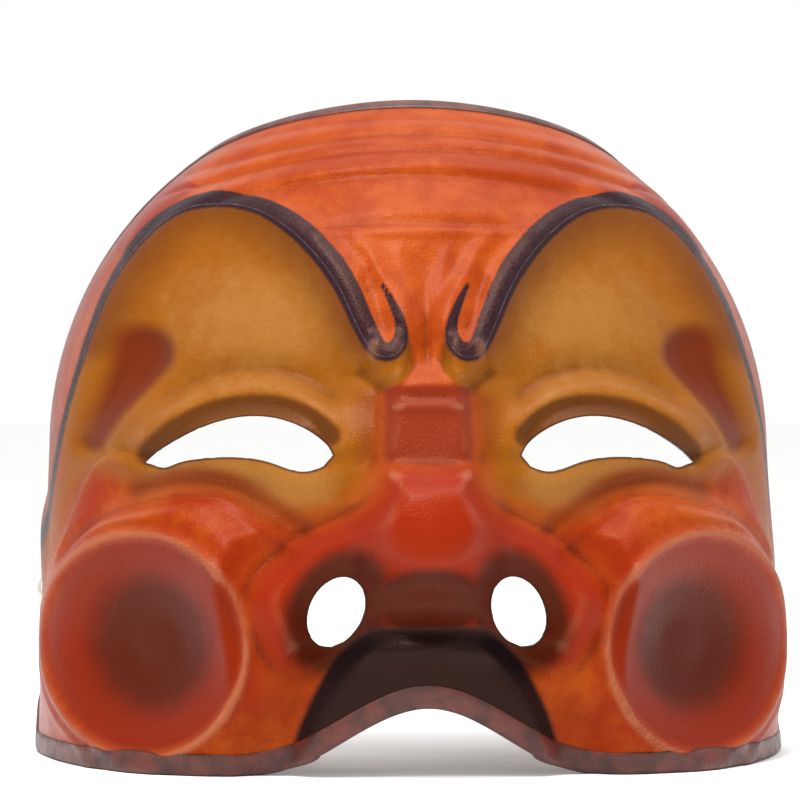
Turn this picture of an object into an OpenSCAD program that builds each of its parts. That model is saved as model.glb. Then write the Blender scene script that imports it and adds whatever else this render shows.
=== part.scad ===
// Moulded leather theatre half mask with a turned and wired edge, inner pads and a riveted elastic head strap.
// It stands on its lower edge and faces -Y. All sizes are millimetres.

/* [Head form] */
// Half of the width at the temples
half_width = 94; // [78:1:113]
// Depth of the rounded front, from the temples to the forehead
form_depth = 84; // [70:1:101]
// Length of the straight walls behind the rounded front
wall_length = 18; // [15:1:22]
// Height of the temples above the standing edge
temple_height = 79; // [66:1:95]
// Rise of the crown above the temples
crown_rise = 92; // [77:1:111]
// Thickness of the moulded leather
leather = 2.4; // [1.8:0.1:3.2]
// Rise of the lower edge over the mouth
mouth_rise = 17; // [10:1:21]
// Half of the width of the mouth arch
mouth_half = 42; // [34:1:50]

/* [Eyes] */
// Distance from the middle to the inner corner of an eye slit
eye_inner = 22.7; // [19:0.5:26]
// Length of an eye slit
eye_length = 45.3; // [36:0.5:48]
// Height of the inner eye corner above the standing edge
eye_height = 77.8; // [72:0.5:84]
// Drop of the outer eye corner below the inner one
eye_droop = 2.3; // [0:0.1:4]
// Rise of the upper lid over the line between the corners
eye_rise = 10.3; // [8:0.1:12.4]

/* [Nose] */
// Height of the tip of the nose
nose_height = 61; // [56:0.5:66]
// Forward reach of the nose
nose_reach = 22; // [16:0.5:26]
// Distance from the middle to the centre of a nostril
nostril_side = 22; // [19:0.5:25]
// Height of a nostril's centre
nostril_height = 40; // [37:0.5:44]
// Long radius of a nostril
nostril_long = 8.9; // [7.4:0.1:10.7]
// Short radius of a nostril
nostril_short = 6.4; // [5.3:0.1:7.7]
// Outward lean of a nostril's lower end
nostril_lean = 24; // [10:1:40]

/* [Cheeks] */
// Distance from the middle to the centre of a cheek
cheek_side = 66; // [60:1:70]
// Height of a cheek's centre
cheek_height = 31; // [27:1:36]
// Swell of the cheeks
cheek_swell = 7; // [5:0.5:9]

/* [Turned edge] */
// Thickness of the turned edge
hem_width = 4; // [3.4:0.1:4.8]
// Depth of the turned edge outside the moulded leather
hem_depth = 3.2; // [2.8:0.1:3.8]
// Diameter of the wire inside the turned edge
wire_diameter = 1.6; // [1.2:0.1:1.9]

/* [Strap] */
// Height of the right rivet
right_rivet_height = 52; // [44:1:62]
// Height of the left rivet
left_rivet_height = 40; // [33:1:43]
// Distance of the rivets in front of the rear edge
rivet_setback = 10; // [9:0.5:12]
// Diameter of the rivets' posts
post_diameter = 3; // [2.5:0.1:3.6]
// Diameter of the rivets' caps
cap_diameter = 9; // [7.5:0.1:10.8]
// Thickness of the leather strap tabs
tab_thickness = 2; // [1.6:0.1:2.4]
// Length of the tabs behind the rivets
tab_length = 26; // [24:1:32]
// Width of the elastic band
band_width = 12; // [10:0.5:14]
// Thickness of the elastic band
band_thickness = 1.4; // [1.1:0.1:1.7]
// Reach of the strap behind the rivets
strap_reach = 146; // [122:1:160]
// Droop of the strap's middle
strap_droop = 35; // [0:1:38]

/* [Pad] */
// Thickness of the forehead pad at its middle
brow_pad_thickness = 8; // [6.5:0.5:10]

/* [Hidden] */

$fn = 48;
fit_gap = 0.3;         // clearance beside a piece that turns
pin_gap = 0.08;        // radial clearance of a tab on its post
hole_gap = 0.25;       // radial clearance of a post in the mask's leather
columns = 56;          // cells of the shell from its left rear edge to its right one
rows = 40;             // cells of the shell from its lower edge to its upper one
low_rows = 18;         // rows of cells below the temples
jaw_flare = 0.03;      // share by which the lower edge is wider than the temples
front_share = 0.885;   // share of a half section that is the rounded front
low_share = low_rows / rows;

function bell(d, w) = exp(-(d / w) * (d / w));
function ease(t) = let (c = min(1, max(0, t))) c * c * (3 - 2 * c);
function unit(v) = v / norm(v);
function turned(p, a) = [p[0] * cos(a) - p[1] * sin(a), p[0] * sin(a) + p[1] * cos(a)];
// Distance of p from the segment that runs from a to b.
function to_segment(p, a, b) =
    let (t = min(1, max(0, (p - a) * (b - a) / ((b - a) * (b - a))))) norm(p - a - t * (b - a));
function to_line(p, points) = min([for (i = [1 : len(points) - 1]) to_segment(p, points[i - 1], points[i])]);

// ---- Head form: rounded front, straight walls, domed crown ----

// Lower edge of the moulded leather at distance x from the middle.
function lower_edge(x) = hem_depth + mouth_rise * (1 - ease(abs(x) / mouth_half));
// Share of the half section that the row at height share v reaches.
function reach(v) = v < 0.3 ? 1 - 0.16 * (1 - v / 0.3) * (1 - v / 0.3) : 1;
// Share of the straight wall that the row keeps, because the rear edge leans forward over the crown.
function wall_kept(v) = 1 - 0.8 * ease((v - 0.55) / 0.45);
// Latitude of the upper edge at share s of the half section.
function top_latitude(s) = 72 - 22 * s * s;

// A point of the head form: q runs from -1 at the left rear edge to 1, and v from 0 below to 1 above.
function form_point(q, v) =
    let (s = abs(q) * reach(v),
         turn = 90 * min(1, s / front_share),
         beyond = max(0, s - front_share) / (1 - front_share),
         latitude = v > low_share ? top_latitude(s) * (v - low_share) / (1 - low_share) : 0,
         x = half_width * cos(latitude) * sin(turn) * (1 + jaw_flare * max(0, 1 - v / low_share)),
         y = -wall_length - form_depth * cos(latitude) * cos(turn) + wall_length * wall_kept(v) * beyond,
         low = lower_edge(x),
         z = v > low_share ? temple_height + crown_rise * sin(latitude)
                           : low + (temple_height - low) * v / low_share)
    [sign(q) * x, y, z];

// Outward direction of the head form at one of its points.
function form_out(p) =
    unit([p[0] / (half_width * half_width), min(0, p[1] + wall_length) / (form_depth * form_depth),
          max(0, p[2] - temple_height) / (crown_rise * crown_rise)]);

// ---- Relief of the face, in mm outwards, at distance x from the middle and height z ----
// The numbers below are heights, places and widths of the ridges and hollows, in mm.

brow_line = [[12, 103], [15, 110], [24, 126], [36, 137], [50, 141], [63, 137], [73, 127], [80, 112], [85, 96],
             [91, 74]];
orbit_line = [[12, 98], [26, 112], [42, 121], [56, 122], [68, 112], [76, 98]];
lid_line = [[22, 80], [27, 87], [35, 92], [44, 94], [54, 92], [64, 85]];
pouch_line = [[30, 56], [38, 61], [47, 66], [57, 68], [68, 65], [78, 61], [86, 52]];
corner_line = [[80, 76], [85, 68], [88, 58]];
wing_line = [[13, 68], [20, 61], [29, 56], [36, 49], [38, 38]];

function brow_relief(x, z) = 3.2 * bell(to_line([x, z], brow_line), 6);
function orbit_relief(x, z) = -5.5 * bell(to_line([x, z], orbit_line), 11);
function lid_relief(x, z) = 4.5 * bell(x - 45, 27) * bell(z - 85, 9) + 1.5 * bell(to_line([x, z], lid_line), 4);
function temple_relief(x, z) = let (p = turned([x - 75, z - 96], 28)) -3 * bell(p[0], 6) * bell(p[1], 13);
function pouch_relief(x, z) = 4.5 * bell(to_line([x, z], pouch_line), 7) + 3 * bell(to_line([x, z], corner_line), 5);
function cheek_radius(x, z) = norm([(x - cheek_side) / 26, (z - cheek_height) / 27]);
function cheek_relief(x, z) =
    let (r = cheek_radius(x, z)) cheek_swell * (1 - ease((r - 0.85) / 0.7)) + 2.5 * bell(r - 1, 0.16)
    - (cheek_swell + 3) * (1 - ease((r - 0.15) / 0.75));
function frown_relief(x, z) = 2.5 * bell(norm([x / (4 + 0.35 * max(0, z - 100)), (z - 118) / 18]), 1);
function wrinkle_relief(x, z) =
    let (arch = z + x * x / 330) 1.6 * (bell(arch - 136, 2.5) + bell(arch - 149, 3) + bell(arch - 156, 2.5));

// Forward relief of the nose and the lip.
function nostril_place(x, z) = turned([x - nostril_side, z - nostril_height], -nostril_lean);
function nostril_radius(x, z) =
    let (p = nostril_place(x, z)) norm([p[0] / nostril_short, p[1] / nostril_long]);
function nose_mass(x, z) = 0.4 * nose_reach * bell(x, 28) * bell(z - 54, 26);
function bridge_relief(x, z) = 6 * (1 - ease((x - 7) / 8)) * ease((z - 66) / 8) * ease((104 - z) / 12);
function ball_relief(x, z) =
    let (r = norm([x / 18.5, (z - nose_height - 1) / 15.5])) 0.7 * nose_reach * ease((1 - r) / 0.75);
function wing_relief(x, z) = 9 * bell(to_line([x, z], wing_line), 8) - 5 * bell(nostril_radius(x, z), 1.1);
function lip_relief(x, z) = 7 * bell(x, 30) * bell(z - 26, 9);

function outward_relief(x, z) =
    brow_relief(x, z) + orbit_relief(x, z) + lid_relief(x, z) + temple_relief(x, z) + pouch_relief(x, z)
    + cheek_relief(x, z) + frown_relief(x, z) + wrinkle_relief(x, z);
function forward_relief(x, z) =
    nose_mass(x, z) + bridge_relief(x, z) + ball_relief(x, z) + wing_relief(x, z) + lip_relief(x, z);

// ---- The rivets' common axis ----

// Distance of the side wall from the middle at height z.
function wall_side(z) = half_width * (1 + jaw_flare * (temple_height - z) / (temple_height - hem_depth));
right_rivet = [wall_side(right_rivet_height), -rivet_setback, right_rivet_height];
left_rivet = [-wall_side(left_rivet_height), -rivet_setback, left_rivet_height];
swing_axis = unit(right_rivet - left_rivet);
rivet_spread = norm(right_rivet - left_rivet);
tab_width = band_width + 4;
seat_flat = 16;   // radius around a rivet in which the wall is flat
seat_fade = 14;   // width of the ring in which it returns to the head form

// The wall is flattened square to the swing axis around each rivet.
function seated(p) =
    let (rivet = p[0] > 0 ? right_rivet : left_rivet,
         away = norm([p[1] - rivet[1], p[2] - rivet[2]]),
         share = 1 - ease((away - seat_flat) / seat_fade),
         plane_x = rivet[0] - (p[2] - rivet[2]) * swing_axis[2] / swing_axis[0])
    [p[0] + share * (plane_x - p[0]), p[1], p[2]];

function outer_point(q, v) =
    let (p = form_point(q, v), out = form_out(p), x = abs(p[0]), z = p[2],
         facing = ease(-2.2 * out[1]) * ease((1 - v) * 10),
         push = [0.6 * out[0], out[1], 0.6 * out[2]])
    seated(p + facing * outward_relief(x, z) * push + [0, -forward_relief(x, z), 0]);

// ---- Grids of points ----

function at(i, n) = -1 + 2 * i / n;
outer_grid = [for (j = [0 : rows]) [for (i = [0 : columns]) outer_point(at(i, columns), j / rows)]];

// Outward direction of a grid at (row j, column i). The lowest row stays level, so that the edge stands flat.
function grid_out(grid, j, i) =
    let (last_j = len(grid) - 1, last_i = len(grid[0]) - 1,
         along = grid[j][min(i + 1, last_i)] - grid[j][max(i - 1, 0)],
         up = grid[min(j + 1, last_j)][i] - grid[max(j - 1, 0)][i],
         n = unit(cross(along, up)))
    j == 0 ? unit([n[0], n[1], 0]) : n;
outer_out = [for (j = [0 : rows]) [for (i = [0 : columns]) grid_out(outer_grid, j, i)]];
function inset_grid(depth) =
    [for (j = [0 : rows]) [for (i = [0 : columns]) outer_grid[j][i] - depth * outer_out[j][i]]];

// The origin is below the middle of the depth, from the tip of the nose to the ends of the strap tabs.
strap_rest = 13;       // rise of the strap from its rivets, in degrees
nose_tip_y = min([for (row = outer_grid) for (p = row) p[1]]);
tab_tip_y = -rivet_setback + tab_length * cos(strap_rest) + tab_width / 2 * sin(strap_rest);
centre_y = (nose_tip_y + tab_tip_y) / 2;

// ---- Solids from points ----

// A closed solid between two grids of the same size: front lies outside back.
module sheet(front, back) {
    m = len(front[0]);
    n = len(front);
    count = m * n;
    function id(j, i) = j * m + i;
    points = concat([for (row = front) for (p = row) p], [for (row = back) for (p = row) p]);
    faces = [
        for (j = [0 : n - 2]) for (i = [0 : m - 2]) for (f = [
            [id(j, i), id(j + 1, i), id(j + 1, i + 1)],
            [id(j, i), id(j + 1, i + 1), id(j, i + 1)],
            [count + id(j, i), count + id(j + 1, i + 1), count + id(j + 1, i)],
            [count + id(j, i), count + id(j, i + 1), count + id(j + 1, i + 1)]]) f,
        for (i = [0 : m - 2]) for (f = [
            [id(0, i), id(0, i + 1), count + id(0, i + 1)],
            [id(0, i), count + id(0, i + 1), count + id(0, i)],
            [id(n - 1, i + 1), id(n - 1, i), count + id(n - 1, i)],
            [id(n - 1, i + 1), count + id(n - 1, i), count + id(n - 1, i + 1)]]) f,
        for (j = [0 : n - 2]) for (f = [
            [id(j + 1, 0), id(j, 0), count + id(j, 0)],
            [id(j + 1, 0), count + id(j, 0), count + id(j + 1, 0)],
            [id(j, m - 1), id(j + 1, m - 1), count + id(j + 1, m - 1)],
            [id(j, m - 1), count + id(j + 1, m - 1), count + id(j, m - 1)]]) f
    ];
    polyhedron(points = points, faces = faces);
}

// A solid from closed rings of points. With closed = true the last ring joins the first one.
module skin(rings, closed = false) {
    m = len(rings[0]);
    n = len(rings);
    steps = closed ? n : n - 1;
    points = [for (ring = rings) for (p = ring) p];
    function id(j, i) = (j % n) * m + i % m;
    walls = [for (j = [0 : steps - 1]) for (i = [0 : m - 1]) for (f = [
        [id(j, i), id(j, i + 1), id(j + 1, i + 1)],
        [id(j, i), id(j + 1, i + 1), id(j + 1, i)]]) f];
    ends = closed ? [] : [[for (i = [m - 1 : -1 : 0]) i], [for (i = [0 : m - 1]) (n - 1) * m + i]];
    polyhedron(points = points, faces = concat(walls, ends));
}

// ---- Edge of the shell: places, outward directions and directions away from the leather ----

edge_steps = concat(
    [for (i = [0 : columns - 1]) [0, i]],
    [for (j = [0 : rows - 1]) [j, columns]],
    [for (i = [columns : -1 : 1]) [rows, i]],
    [for (j = [rows : -1 : 1]) [j, 0]]);
edge_count = len(edge_steps);
edge_middle = [for (s = edge_steps) outer_grid[s[0]][s[1]] - leather / 2 * outer_out[s[0]][s[1]]];
edge_out = [for (s = edge_steps) outer_out[s[0]][s[1]]];
function edge_along(k) =
    unit(edge_middle[(k + 1) % edge_count] - edge_middle[(k + edge_count - 1) % edge_count]);
function edge_away(k) =
    let (free = cross(edge_along(k), edge_out[k]))
    edge_steps[k][0] == 0 ? [0, 0, -1] : unit(free);
// A point beside the edge: across is measured along the leather's outward direction, away from the leather.
function beside_edge(k, across, away) = edge_middle[k] + across * edge_out[k] + away * edge_away(k);

hem_half = hem_width / 2;
hem_bevel = 0.8;
wire_gap = 0.05;        // clearance beside the wire in its slot
wire_start = 0.15;      // distance of the wire from the leather's edge
slot_half = wire_diameter / 2 + wire_gap;
slot_depth = wire_diameter + 2 * wire_start;
hem_profile = [[-hem_half, 0], [-hem_half, hem_depth - hem_bevel], [-hem_half + hem_bevel, hem_depth],
               [hem_half - hem_bevel, hem_depth], [hem_half, hem_depth - hem_bevel], [hem_half, 0],
               [slot_half, 0], [slot_half, slot_depth], [-slot_half, slot_depth], [-slot_half, 0]];
wire_sides = 8;
wire_profile = [for (i = [0 : wire_sides - 1])
    wire_diameter / 2 * [cos(360 * i / wire_sides), sin(360 * i / wire_sides)]
    + [0, wire_start + wire_diameter / 2]];

// ---- Openings ----

// Height of the upper and of the lower lid over the line between the eye corners, at share s of the slit.
function upper_lid(s) = eye_rise * pow(sin(180 * pow(s, 0.85)), 0.8);
function lower_lid(s) =
    min(1, s / 0.04, (1 - s) / 0.04)
    * (-3.7 * bell(s - 0.15, 0.17) + 0.7 * bell(s - 0.6, 0.18) - 1.4 * bell(s - 0.9, 0.07));
lid_steps = 16;
corner_gap = 0.05;      // height of the slit at its corners
function eye_place(s, lift) = [eye_inner + eye_length * s, eye_height - eye_droop * s + lift];
eye_outline = concat(
    [for (i = [0 : lid_steps]) let (s = i / lid_steps) eye_place(s, lower_lid(s) - corner_gap)],
    [for (i = [lid_steps - 1 : -1 : 1]) let (s = i / lid_steps) eye_place(s, upper_lid(s))]);

module through_front() {
    rotate([90, 0, 0]) linear_extrude(height = 2 * (form_depth + wall_length)) children();
}

module eye_cut() { through_front() polygon(eye_outline); }

nostril_sides = 24;
module nostril_cut() {
    outline = [for (i = [0 : nostril_sides - 1]) let (a = 360 * i / nostril_sides)
        turned([nostril_short * cos(a), nostril_long * sin(a)], nostril_lean)
        + [nostril_side, nostril_height]];
    through_front() polygon(outline);
}

// ---- Frame of a rivet: local +Z runs outwards along the swing axis, and the wall's outer face is at 0 ----

axis_lean = acos(swing_axis[0]);
module at_rivet(side) {
    translate(side > 0 ? right_rivet : left_rivet)
        rotate([0, -axis_lean, 0]) rotate([0, side * 90, 0]) children();
}

// Frame of the strap: +X runs along the swing axis to the right, +Y to the rear along the tabs.
module at_strap(side) {
    translate((right_rivet + left_rivet) / 2)
        rotate([0, -axis_lean, 0]) rotate([strap_rest, 0, 0]) mirror([side < 0 ? 1 : 0, 0, 0]) children();
}

washer_thickness = 3;
cap_rise = 2.2;         // height of a cap above the wall
flange_thickness = 1.2;
tab_outer = -leather - washer_thickness - fit_gap;     // measured outwards from the wall's outer face
tab_inner = tab_outer - tab_thickness;
flange_top = tab_inner - fit_gap;
post_end = 1.2;         // reach of a post into its cap
sewn_start = 13;        // distance of the band's end from the rivets

module rivet_cut(side) {
    at_rivet(side) cylinder(d = post_diameter + 2 * hole_gap, h = 5 * leather, center = true);
}

module face_shell() {
    color("chocolate") difference() {
        sheet(outer_grid, inset_grid(leather));
        for (side = [-1, 1]) {
            mirror([side < 0 ? 1 : 0, 0, 0]) eye_cut();
            mirror([side < 0 ? 1 : 0, 0, 0]) nostril_cut();
            rivet_cut(side);
        }
    }
}

module rim_hem() {
    color("saddlebrown")
    skin([for (k = [0 : edge_count - 1]) [for (c = hem_profile) beside_edge(k, c[0], c[1])]], closed = true);
}

module rim_wire() {
    color("silver")
    skin([for (k = [0 : edge_count - 1]) [for (c = wire_profile) beside_edge(k, c[0], c[1])]], closed = true);
}

// Follows the inside of the forehead, thick in its middle and thin at its ends.
pad_left = 18;
pad_right = columns - pad_left;
pad_low = 25;
pad_high = 31;
function pad_depth(i, j) =
    let (across = (i - columns / 2) / (columns / 2 - pad_left), up = 2 * (j - pad_low) / (pad_high - pad_low) - 1)
    brow_pad_thickness * (1 - 0.5 * across * across) * (1 - 0.45 * up * up);
module brow_pad() {
    front = [for (j = [pad_low : pad_high]) [for (i = [pad_left : pad_right])
        outer_grid[j][i] - leather * outer_out[j][i]]];
    back = [for (j = [pad_low : pad_high]) [for (i = [pad_left : pad_right])
        outer_grid[j][i] - (leather + pad_depth(i, j)) * outer_out[j][i]]];
    color("dimgray") sheet(front, back);
}

module rivet_cap(side) {
    color("silver") at_rivet(side) rotate_extrude() difference() {
        intersection() {
            translate([0, cap_rise - cap_curve]) circle(r = cap_curve, $fn = 96);
            square([cap_diameter / 2, cap_rise]);
        }
        square([post_diameter / 2, post_end]);
    }
}
cap_edge = 0.7;         // height of a cap's rim
cap_curve = (pow(cap_diameter / 2, 2) + pow(cap_rise - cap_edge, 2)) / (2 * (cap_rise - cap_edge));

module rivet_post(side) {
    color("silver") at_rivet(side) {
        translate([0, 0, flange_top - flange_thickness]) cylinder(d = cap_diameter, h = flange_thickness);
        translate([0, 0, flange_top]) cylinder(d = post_diameter, h = post_end - flange_top);
    }
}

module washer(side) {
    color("dimgray") at_rivet(side) translate([0, 0, -leather - washer_thickness]) difference() {
        cylinder(d = cap_diameter, h = washer_thickness);
        translate([0, 0, -1]) cylinder(d = post_diameter, h = washer_thickness + 2);
    }
}

module strap_tab(side) {
    color("black") at_strap(side) translate([rivet_spread / 2 + tab_outer, 0, 0]) rotate([0, -90, 0])
    difference() {
        union() {
            cylinder(d = tab_width, h = tab_thickness);
            translate([-tab_width / 2, 0, 0]) cube([tab_width, tab_length, tab_thickness]);
        }
        translate([0, 0, -1]) cylinder(d = post_diameter + 2 * pin_gap, h = tab_thickness + 2);
    }
}

// Middle line of the band, in the strap's frame: straight on the tabs, then half an ellipse that droops.
band_side = rivet_spread / 2 + tab_inner - band_thickness / 2;
bend_start = tab_length + 2;
bend_steps = 44;
function bend_point(t) =
    [band_side * cos(t), bend_start + (strap_reach - bend_start) * sin(t), -strap_droop * pow(sin(t), 4)];
band_route = concat(
    [for (y = [sewn_start, (sewn_start + bend_start) / 2]) [band_side, y, 0]],
    [for (i = [0 : bend_steps]) bend_point(180 * i / bend_steps)],
    [for (y = [(sewn_start + bend_start) / 2, sewn_start]) [-band_side, y, 0]]);
function band_ring(i) =
    let (last = len(band_route) - 1,
         along = unit(band_route[min(i + 1, last)] - band_route[max(i - 1, 0)]),
         up = unit([0, 0, 1] - along[2] * along),
         out = cross(up, along))
    [for (c = [[1, 1], [-1, 1], [-1, -1], [1, -1]])
        band_route[i] + c[0] * band_thickness / 2 * out + c[1] * band_width / 2 * up];
module elastic_band() {
    color("black") at_strap(1) skin([for (i = [0 : len(band_route) - 1]) band_ring(i)]);
}

stitch_length = 2.4;
stitch_gap = 1;
stitch_size = 0.5;
stitch_rise = 0.3;
sewn_border = 1.6;      // distance of the seam from the band's edges
// Stitches in a row of the given length, along +Y.
module stitch_row(length) {
    count = floor((length + stitch_gap) / (stitch_length + stitch_gap));
    pitch = (length + stitch_gap) / count;
    for (i = [0 : count - 1])
        translate([-stitch_rise, i * pitch, -stitch_size / 2]) cube([stitch_rise, pitch - stitch_gap, stitch_size]);
}
module stitches(side) {
    sewn_length = tab_length - sewn_start - 2 * sewn_border;
    half = band_width / 2 - sewn_border;
    color("gray") at_strap(side)
    translate([rivet_spread / 2 + tab_inner - band_thickness, sewn_start + sewn_border, 0]) {
        for (z = [-half, half]) translate([0, 0, z]) stitch_row(sewn_length);
        for (y = [-stitch_size, sewn_length + stitch_size])
            translate([0, y, 0]) rotate([90, 0, 0]) translate([0, -half, 0]) stitch_row(2 * half);
    }
}

translate([0, -centre_y, 0]) {
    face_shell();
    rim_hem();
    rim_wire();
    brow_pad();
    rivet_cap(1);  // right_rivet_cap
    rivet_post(1);  // right_rivet_post
    washer(1);  // right_washer
    rivet_cap(-1);  // left_rivet_cap
    rivet_post(-1);  // left_rivet_post
    washer(-1);  // left_washer
    strap_tab(1);  // right_strap_tab
    strap_tab(-1);  // left_strap_tab
    elastic_band();
    stitches(1);  // right_stitches
    stitches(-1);  // left_stitches
}
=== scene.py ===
"""Looks of a moulded leather theatre half mask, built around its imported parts.

The frame is the part's own: +Z up, and the face looks towards -Y. Surfaces are worked out in millimetres, as
whole arrays, and go into the scene in metres.
"""
import logging
import math
from dataclasses import dataclass, field
from enum import Enum

import bpy
import numpy as np
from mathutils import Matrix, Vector


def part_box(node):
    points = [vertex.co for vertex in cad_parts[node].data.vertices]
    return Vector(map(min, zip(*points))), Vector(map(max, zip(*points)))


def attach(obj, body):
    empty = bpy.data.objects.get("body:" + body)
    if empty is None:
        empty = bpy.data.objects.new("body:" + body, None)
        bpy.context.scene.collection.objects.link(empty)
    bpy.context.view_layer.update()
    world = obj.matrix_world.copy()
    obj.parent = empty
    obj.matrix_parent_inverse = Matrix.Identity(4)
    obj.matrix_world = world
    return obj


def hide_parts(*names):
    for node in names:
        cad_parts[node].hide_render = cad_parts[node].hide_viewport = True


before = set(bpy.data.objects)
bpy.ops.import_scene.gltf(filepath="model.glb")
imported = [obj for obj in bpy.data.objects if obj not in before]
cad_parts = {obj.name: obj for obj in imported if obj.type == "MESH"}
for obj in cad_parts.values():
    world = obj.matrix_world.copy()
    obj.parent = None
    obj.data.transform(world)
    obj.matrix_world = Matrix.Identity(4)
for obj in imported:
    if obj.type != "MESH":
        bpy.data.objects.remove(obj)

logging.basicConfig(level=logging.INFO, format="%(message)s")
log = logging.getLogger("mask")

MM = 0.001
Points = list[tuple[float, float]]
Place = tuple[float, float, float]


class Body(Enum):
    """The rigid bodies that pieces ride on."""

    MASK = "mask"
    STRAP = "head_strap"


# ---------------------------------------------------------------- small functions of arrays


def bell(d: np.ndarray, w: float) -> np.ndarray:
    """A smooth bump.

    Args:
        d: distance from the bump's middle.
        w: distance at which the bump has fallen to about a third.

    Returns:
        exp(-(d/w)^2), from 0 to 1.
    """
    return np.exp(-((d / w) ** 2))


def ease(t: np.ndarray) -> np.ndarray:
    """A smooth step.

    Args:
        t: the place of the step, 0 where it starts and 1 where it ends.

    Returns:
        0 below the step and 1 above it.
    """
    c = np.clip(t, 0, 1)
    return c * c * (3 - 2 * c)


def unit(v: np.ndarray) -> np.ndarray:
    """Args: v, vectors along the last axis. Returns: the same directions with length 1."""
    return v / np.maximum(np.linalg.norm(v, axis=-1, keepdims=True), 1e-9)


def smooth_line(points: Points, steps: int = 8) -> np.ndarray:
    """A smooth curve through given points (Catmull-Rom).

    Args:
        points: the points the curve goes through.
        steps: pieces between two of them.

    Returns:
        The curve's points, one per row.
    """
    p = np.asarray(points, float)
    ends = np.vstack([2 * p[0] - p[1], p, 2 * p[-1] - p[-2]])
    t = np.linspace(0, 1, steps, endpoint=False)[None, :, None]
    a, b, c, d = (ends[i : len(ends) - 3 + i, None, :] for i in range(4))
    curve = 0.5 * (2 * b + (c - a) * t + (2 * a - 5 * b + 4 * c - d) * t**2 + (3 * b - a - 3 * c + d) * t**3)
    return np.vstack([curve.reshape(-1, p.shape[1]), p[-1]])


def line_distance(x: np.ndarray, z: np.ndarray, line: np.ndarray) -> tuple[np.ndarray, np.ndarray]:
    """Distance from a line of segments.

    Args:
        x, z: the places.
        line: the line's points, one per row.

    Returns:
        The distance from the line, and the share of the line's points passed at the nearest place.
    """
    best = np.full(x.shape, 1e9)
    share = np.zeros(x.shape)
    for i, (a, b) in enumerate(zip(line[:-1], line[1:])):
        ab = b - a
        t = np.clip(((x - a[0]) * ab[0] + (z - a[1]) * ab[1]) / max(float(ab @ ab), 1e-9), 0, 1)
        d = np.hypot(x - a[0] - t * ab[0], z - a[1] - t * ab[1])
        nearer = d < best
        best = np.where(nearer, d, best)
        share = np.where(nearer, (i + t) / (len(line) - 1), share)
    return best, share


def depth_inside(x: np.ndarray, z: np.ndarray, outline: np.ndarray) -> np.ndarray:
    """Distance from a closed outline, by the even-odd rule.

    Args:
        x, z: the places.
        outline: its points, one per row.

    Returns:
        The distance, positive inside the outline and negative outside.
    """
    closed = np.vstack([outline, outline[:1]])
    d, _ = line_distance(x, z, closed)
    inside = np.zeros(x.shape, bool)
    for a, b in zip(closed[:-1], closed[1:]):
        if a[1] != b[1]:
            crosses = (a[1] > z) != (b[1] > z)
            inside ^= crosses & (x < a[0] + (z - a[1]) * (b[0] - a[0]) / (b[1] - a[1]))
    return np.where(inside, d, -d)


def turned(x: np.ndarray, z: np.ndarray, degrees: float) -> tuple[np.ndarray, np.ndarray]:
    """The places x, z turned anticlockwise about the origin."""
    c, s = math.cos(math.radians(degrees)), math.sin(math.radians(degrees))
    return x * c - z * s, x * s + z * c


# ---------------------------------------------------------------- meshes


def add_mesh(name: str, points: np.ndarray, faces: list,
             attributes: dict[str, np.ndarray] | None = None) -> bpy.types.Object:
    """Puts a mesh into the scene.

    Args:
        name: the object's name.
        points: its corners, in millimetres.
        faces: its faces, lists of corner numbers or arrays of them.
        attributes: a number per corner for each name.

    Returns:
        The object, smooth shaded.
    """
    mesh = bpy.data.meshes.new(name)
    rows = [f for part in faces for f in (part.tolist() if isinstance(part, np.ndarray) else [part])]
    mesh.from_pydata((np.asarray(points) * MM).tolist(), [], rows)
    mesh.polygons.foreach_set("use_smooth", np.ones(len(mesh.polygons), bool))
    for key, values in (attributes or {}).items():
        layer = mesh.attributes.new(key, "FLOAT", "POINT")
        layer.data.foreach_set("value", np.asarray(values, np.float32))
    mesh.validate()
    mesh.update()
    obj = bpy.data.objects.new(name, mesh)
    bpy.context.scene.collection.objects.link(obj)
    return obj


def grid_quads(rows: int, columns: int, wrap_rows: bool = False, wrap_columns: bool = False) -> np.ndarray:
    """Quads of a grid of points that are numbered row by row.

    Args:
        rows, columns: the grid's size in points.
        wrap_rows: whether the last row joins the first one.
        wrap_columns: whether the last column joins the first one.

    Returns:
        The corner numbers, one quad per row.
    """
    r = np.arange(rows if wrap_rows else rows - 1)[:, None]
    c = np.arange(columns if wrap_columns else columns - 1)[None, :]
    r2, c2 = (r + 1) % rows, (c + 1) % columns
    a = r * columns + c
    return np.stack([a, r * columns + c2, r2 * columns + c2, r2 * columns + c], -1).reshape(-1, 4)


def swept(name: str, rings: np.ndarray, closed: bool) -> bpy.types.Object:
    """A solid from rings of points. Open ends are closed by a face each.

    Args:
        name: the object's name.
        rings: points indexed by ring, then by place on the ring.
        closed: whether the last ring joins the first one.

    Returns:
        The object.
    """
    n, m = rings.shape[:2]
    faces: list = [grid_quads(n, m, wrap_rows=closed, wrap_columns=True)]
    if not closed:
        faces += [list(range(m))[::-1], list(range((n - 1) * m, n * m))]
    return add_mesh(name, rings.reshape(-1, 3), faces)


# ---------------------------------------------------------------- the face's form


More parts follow.
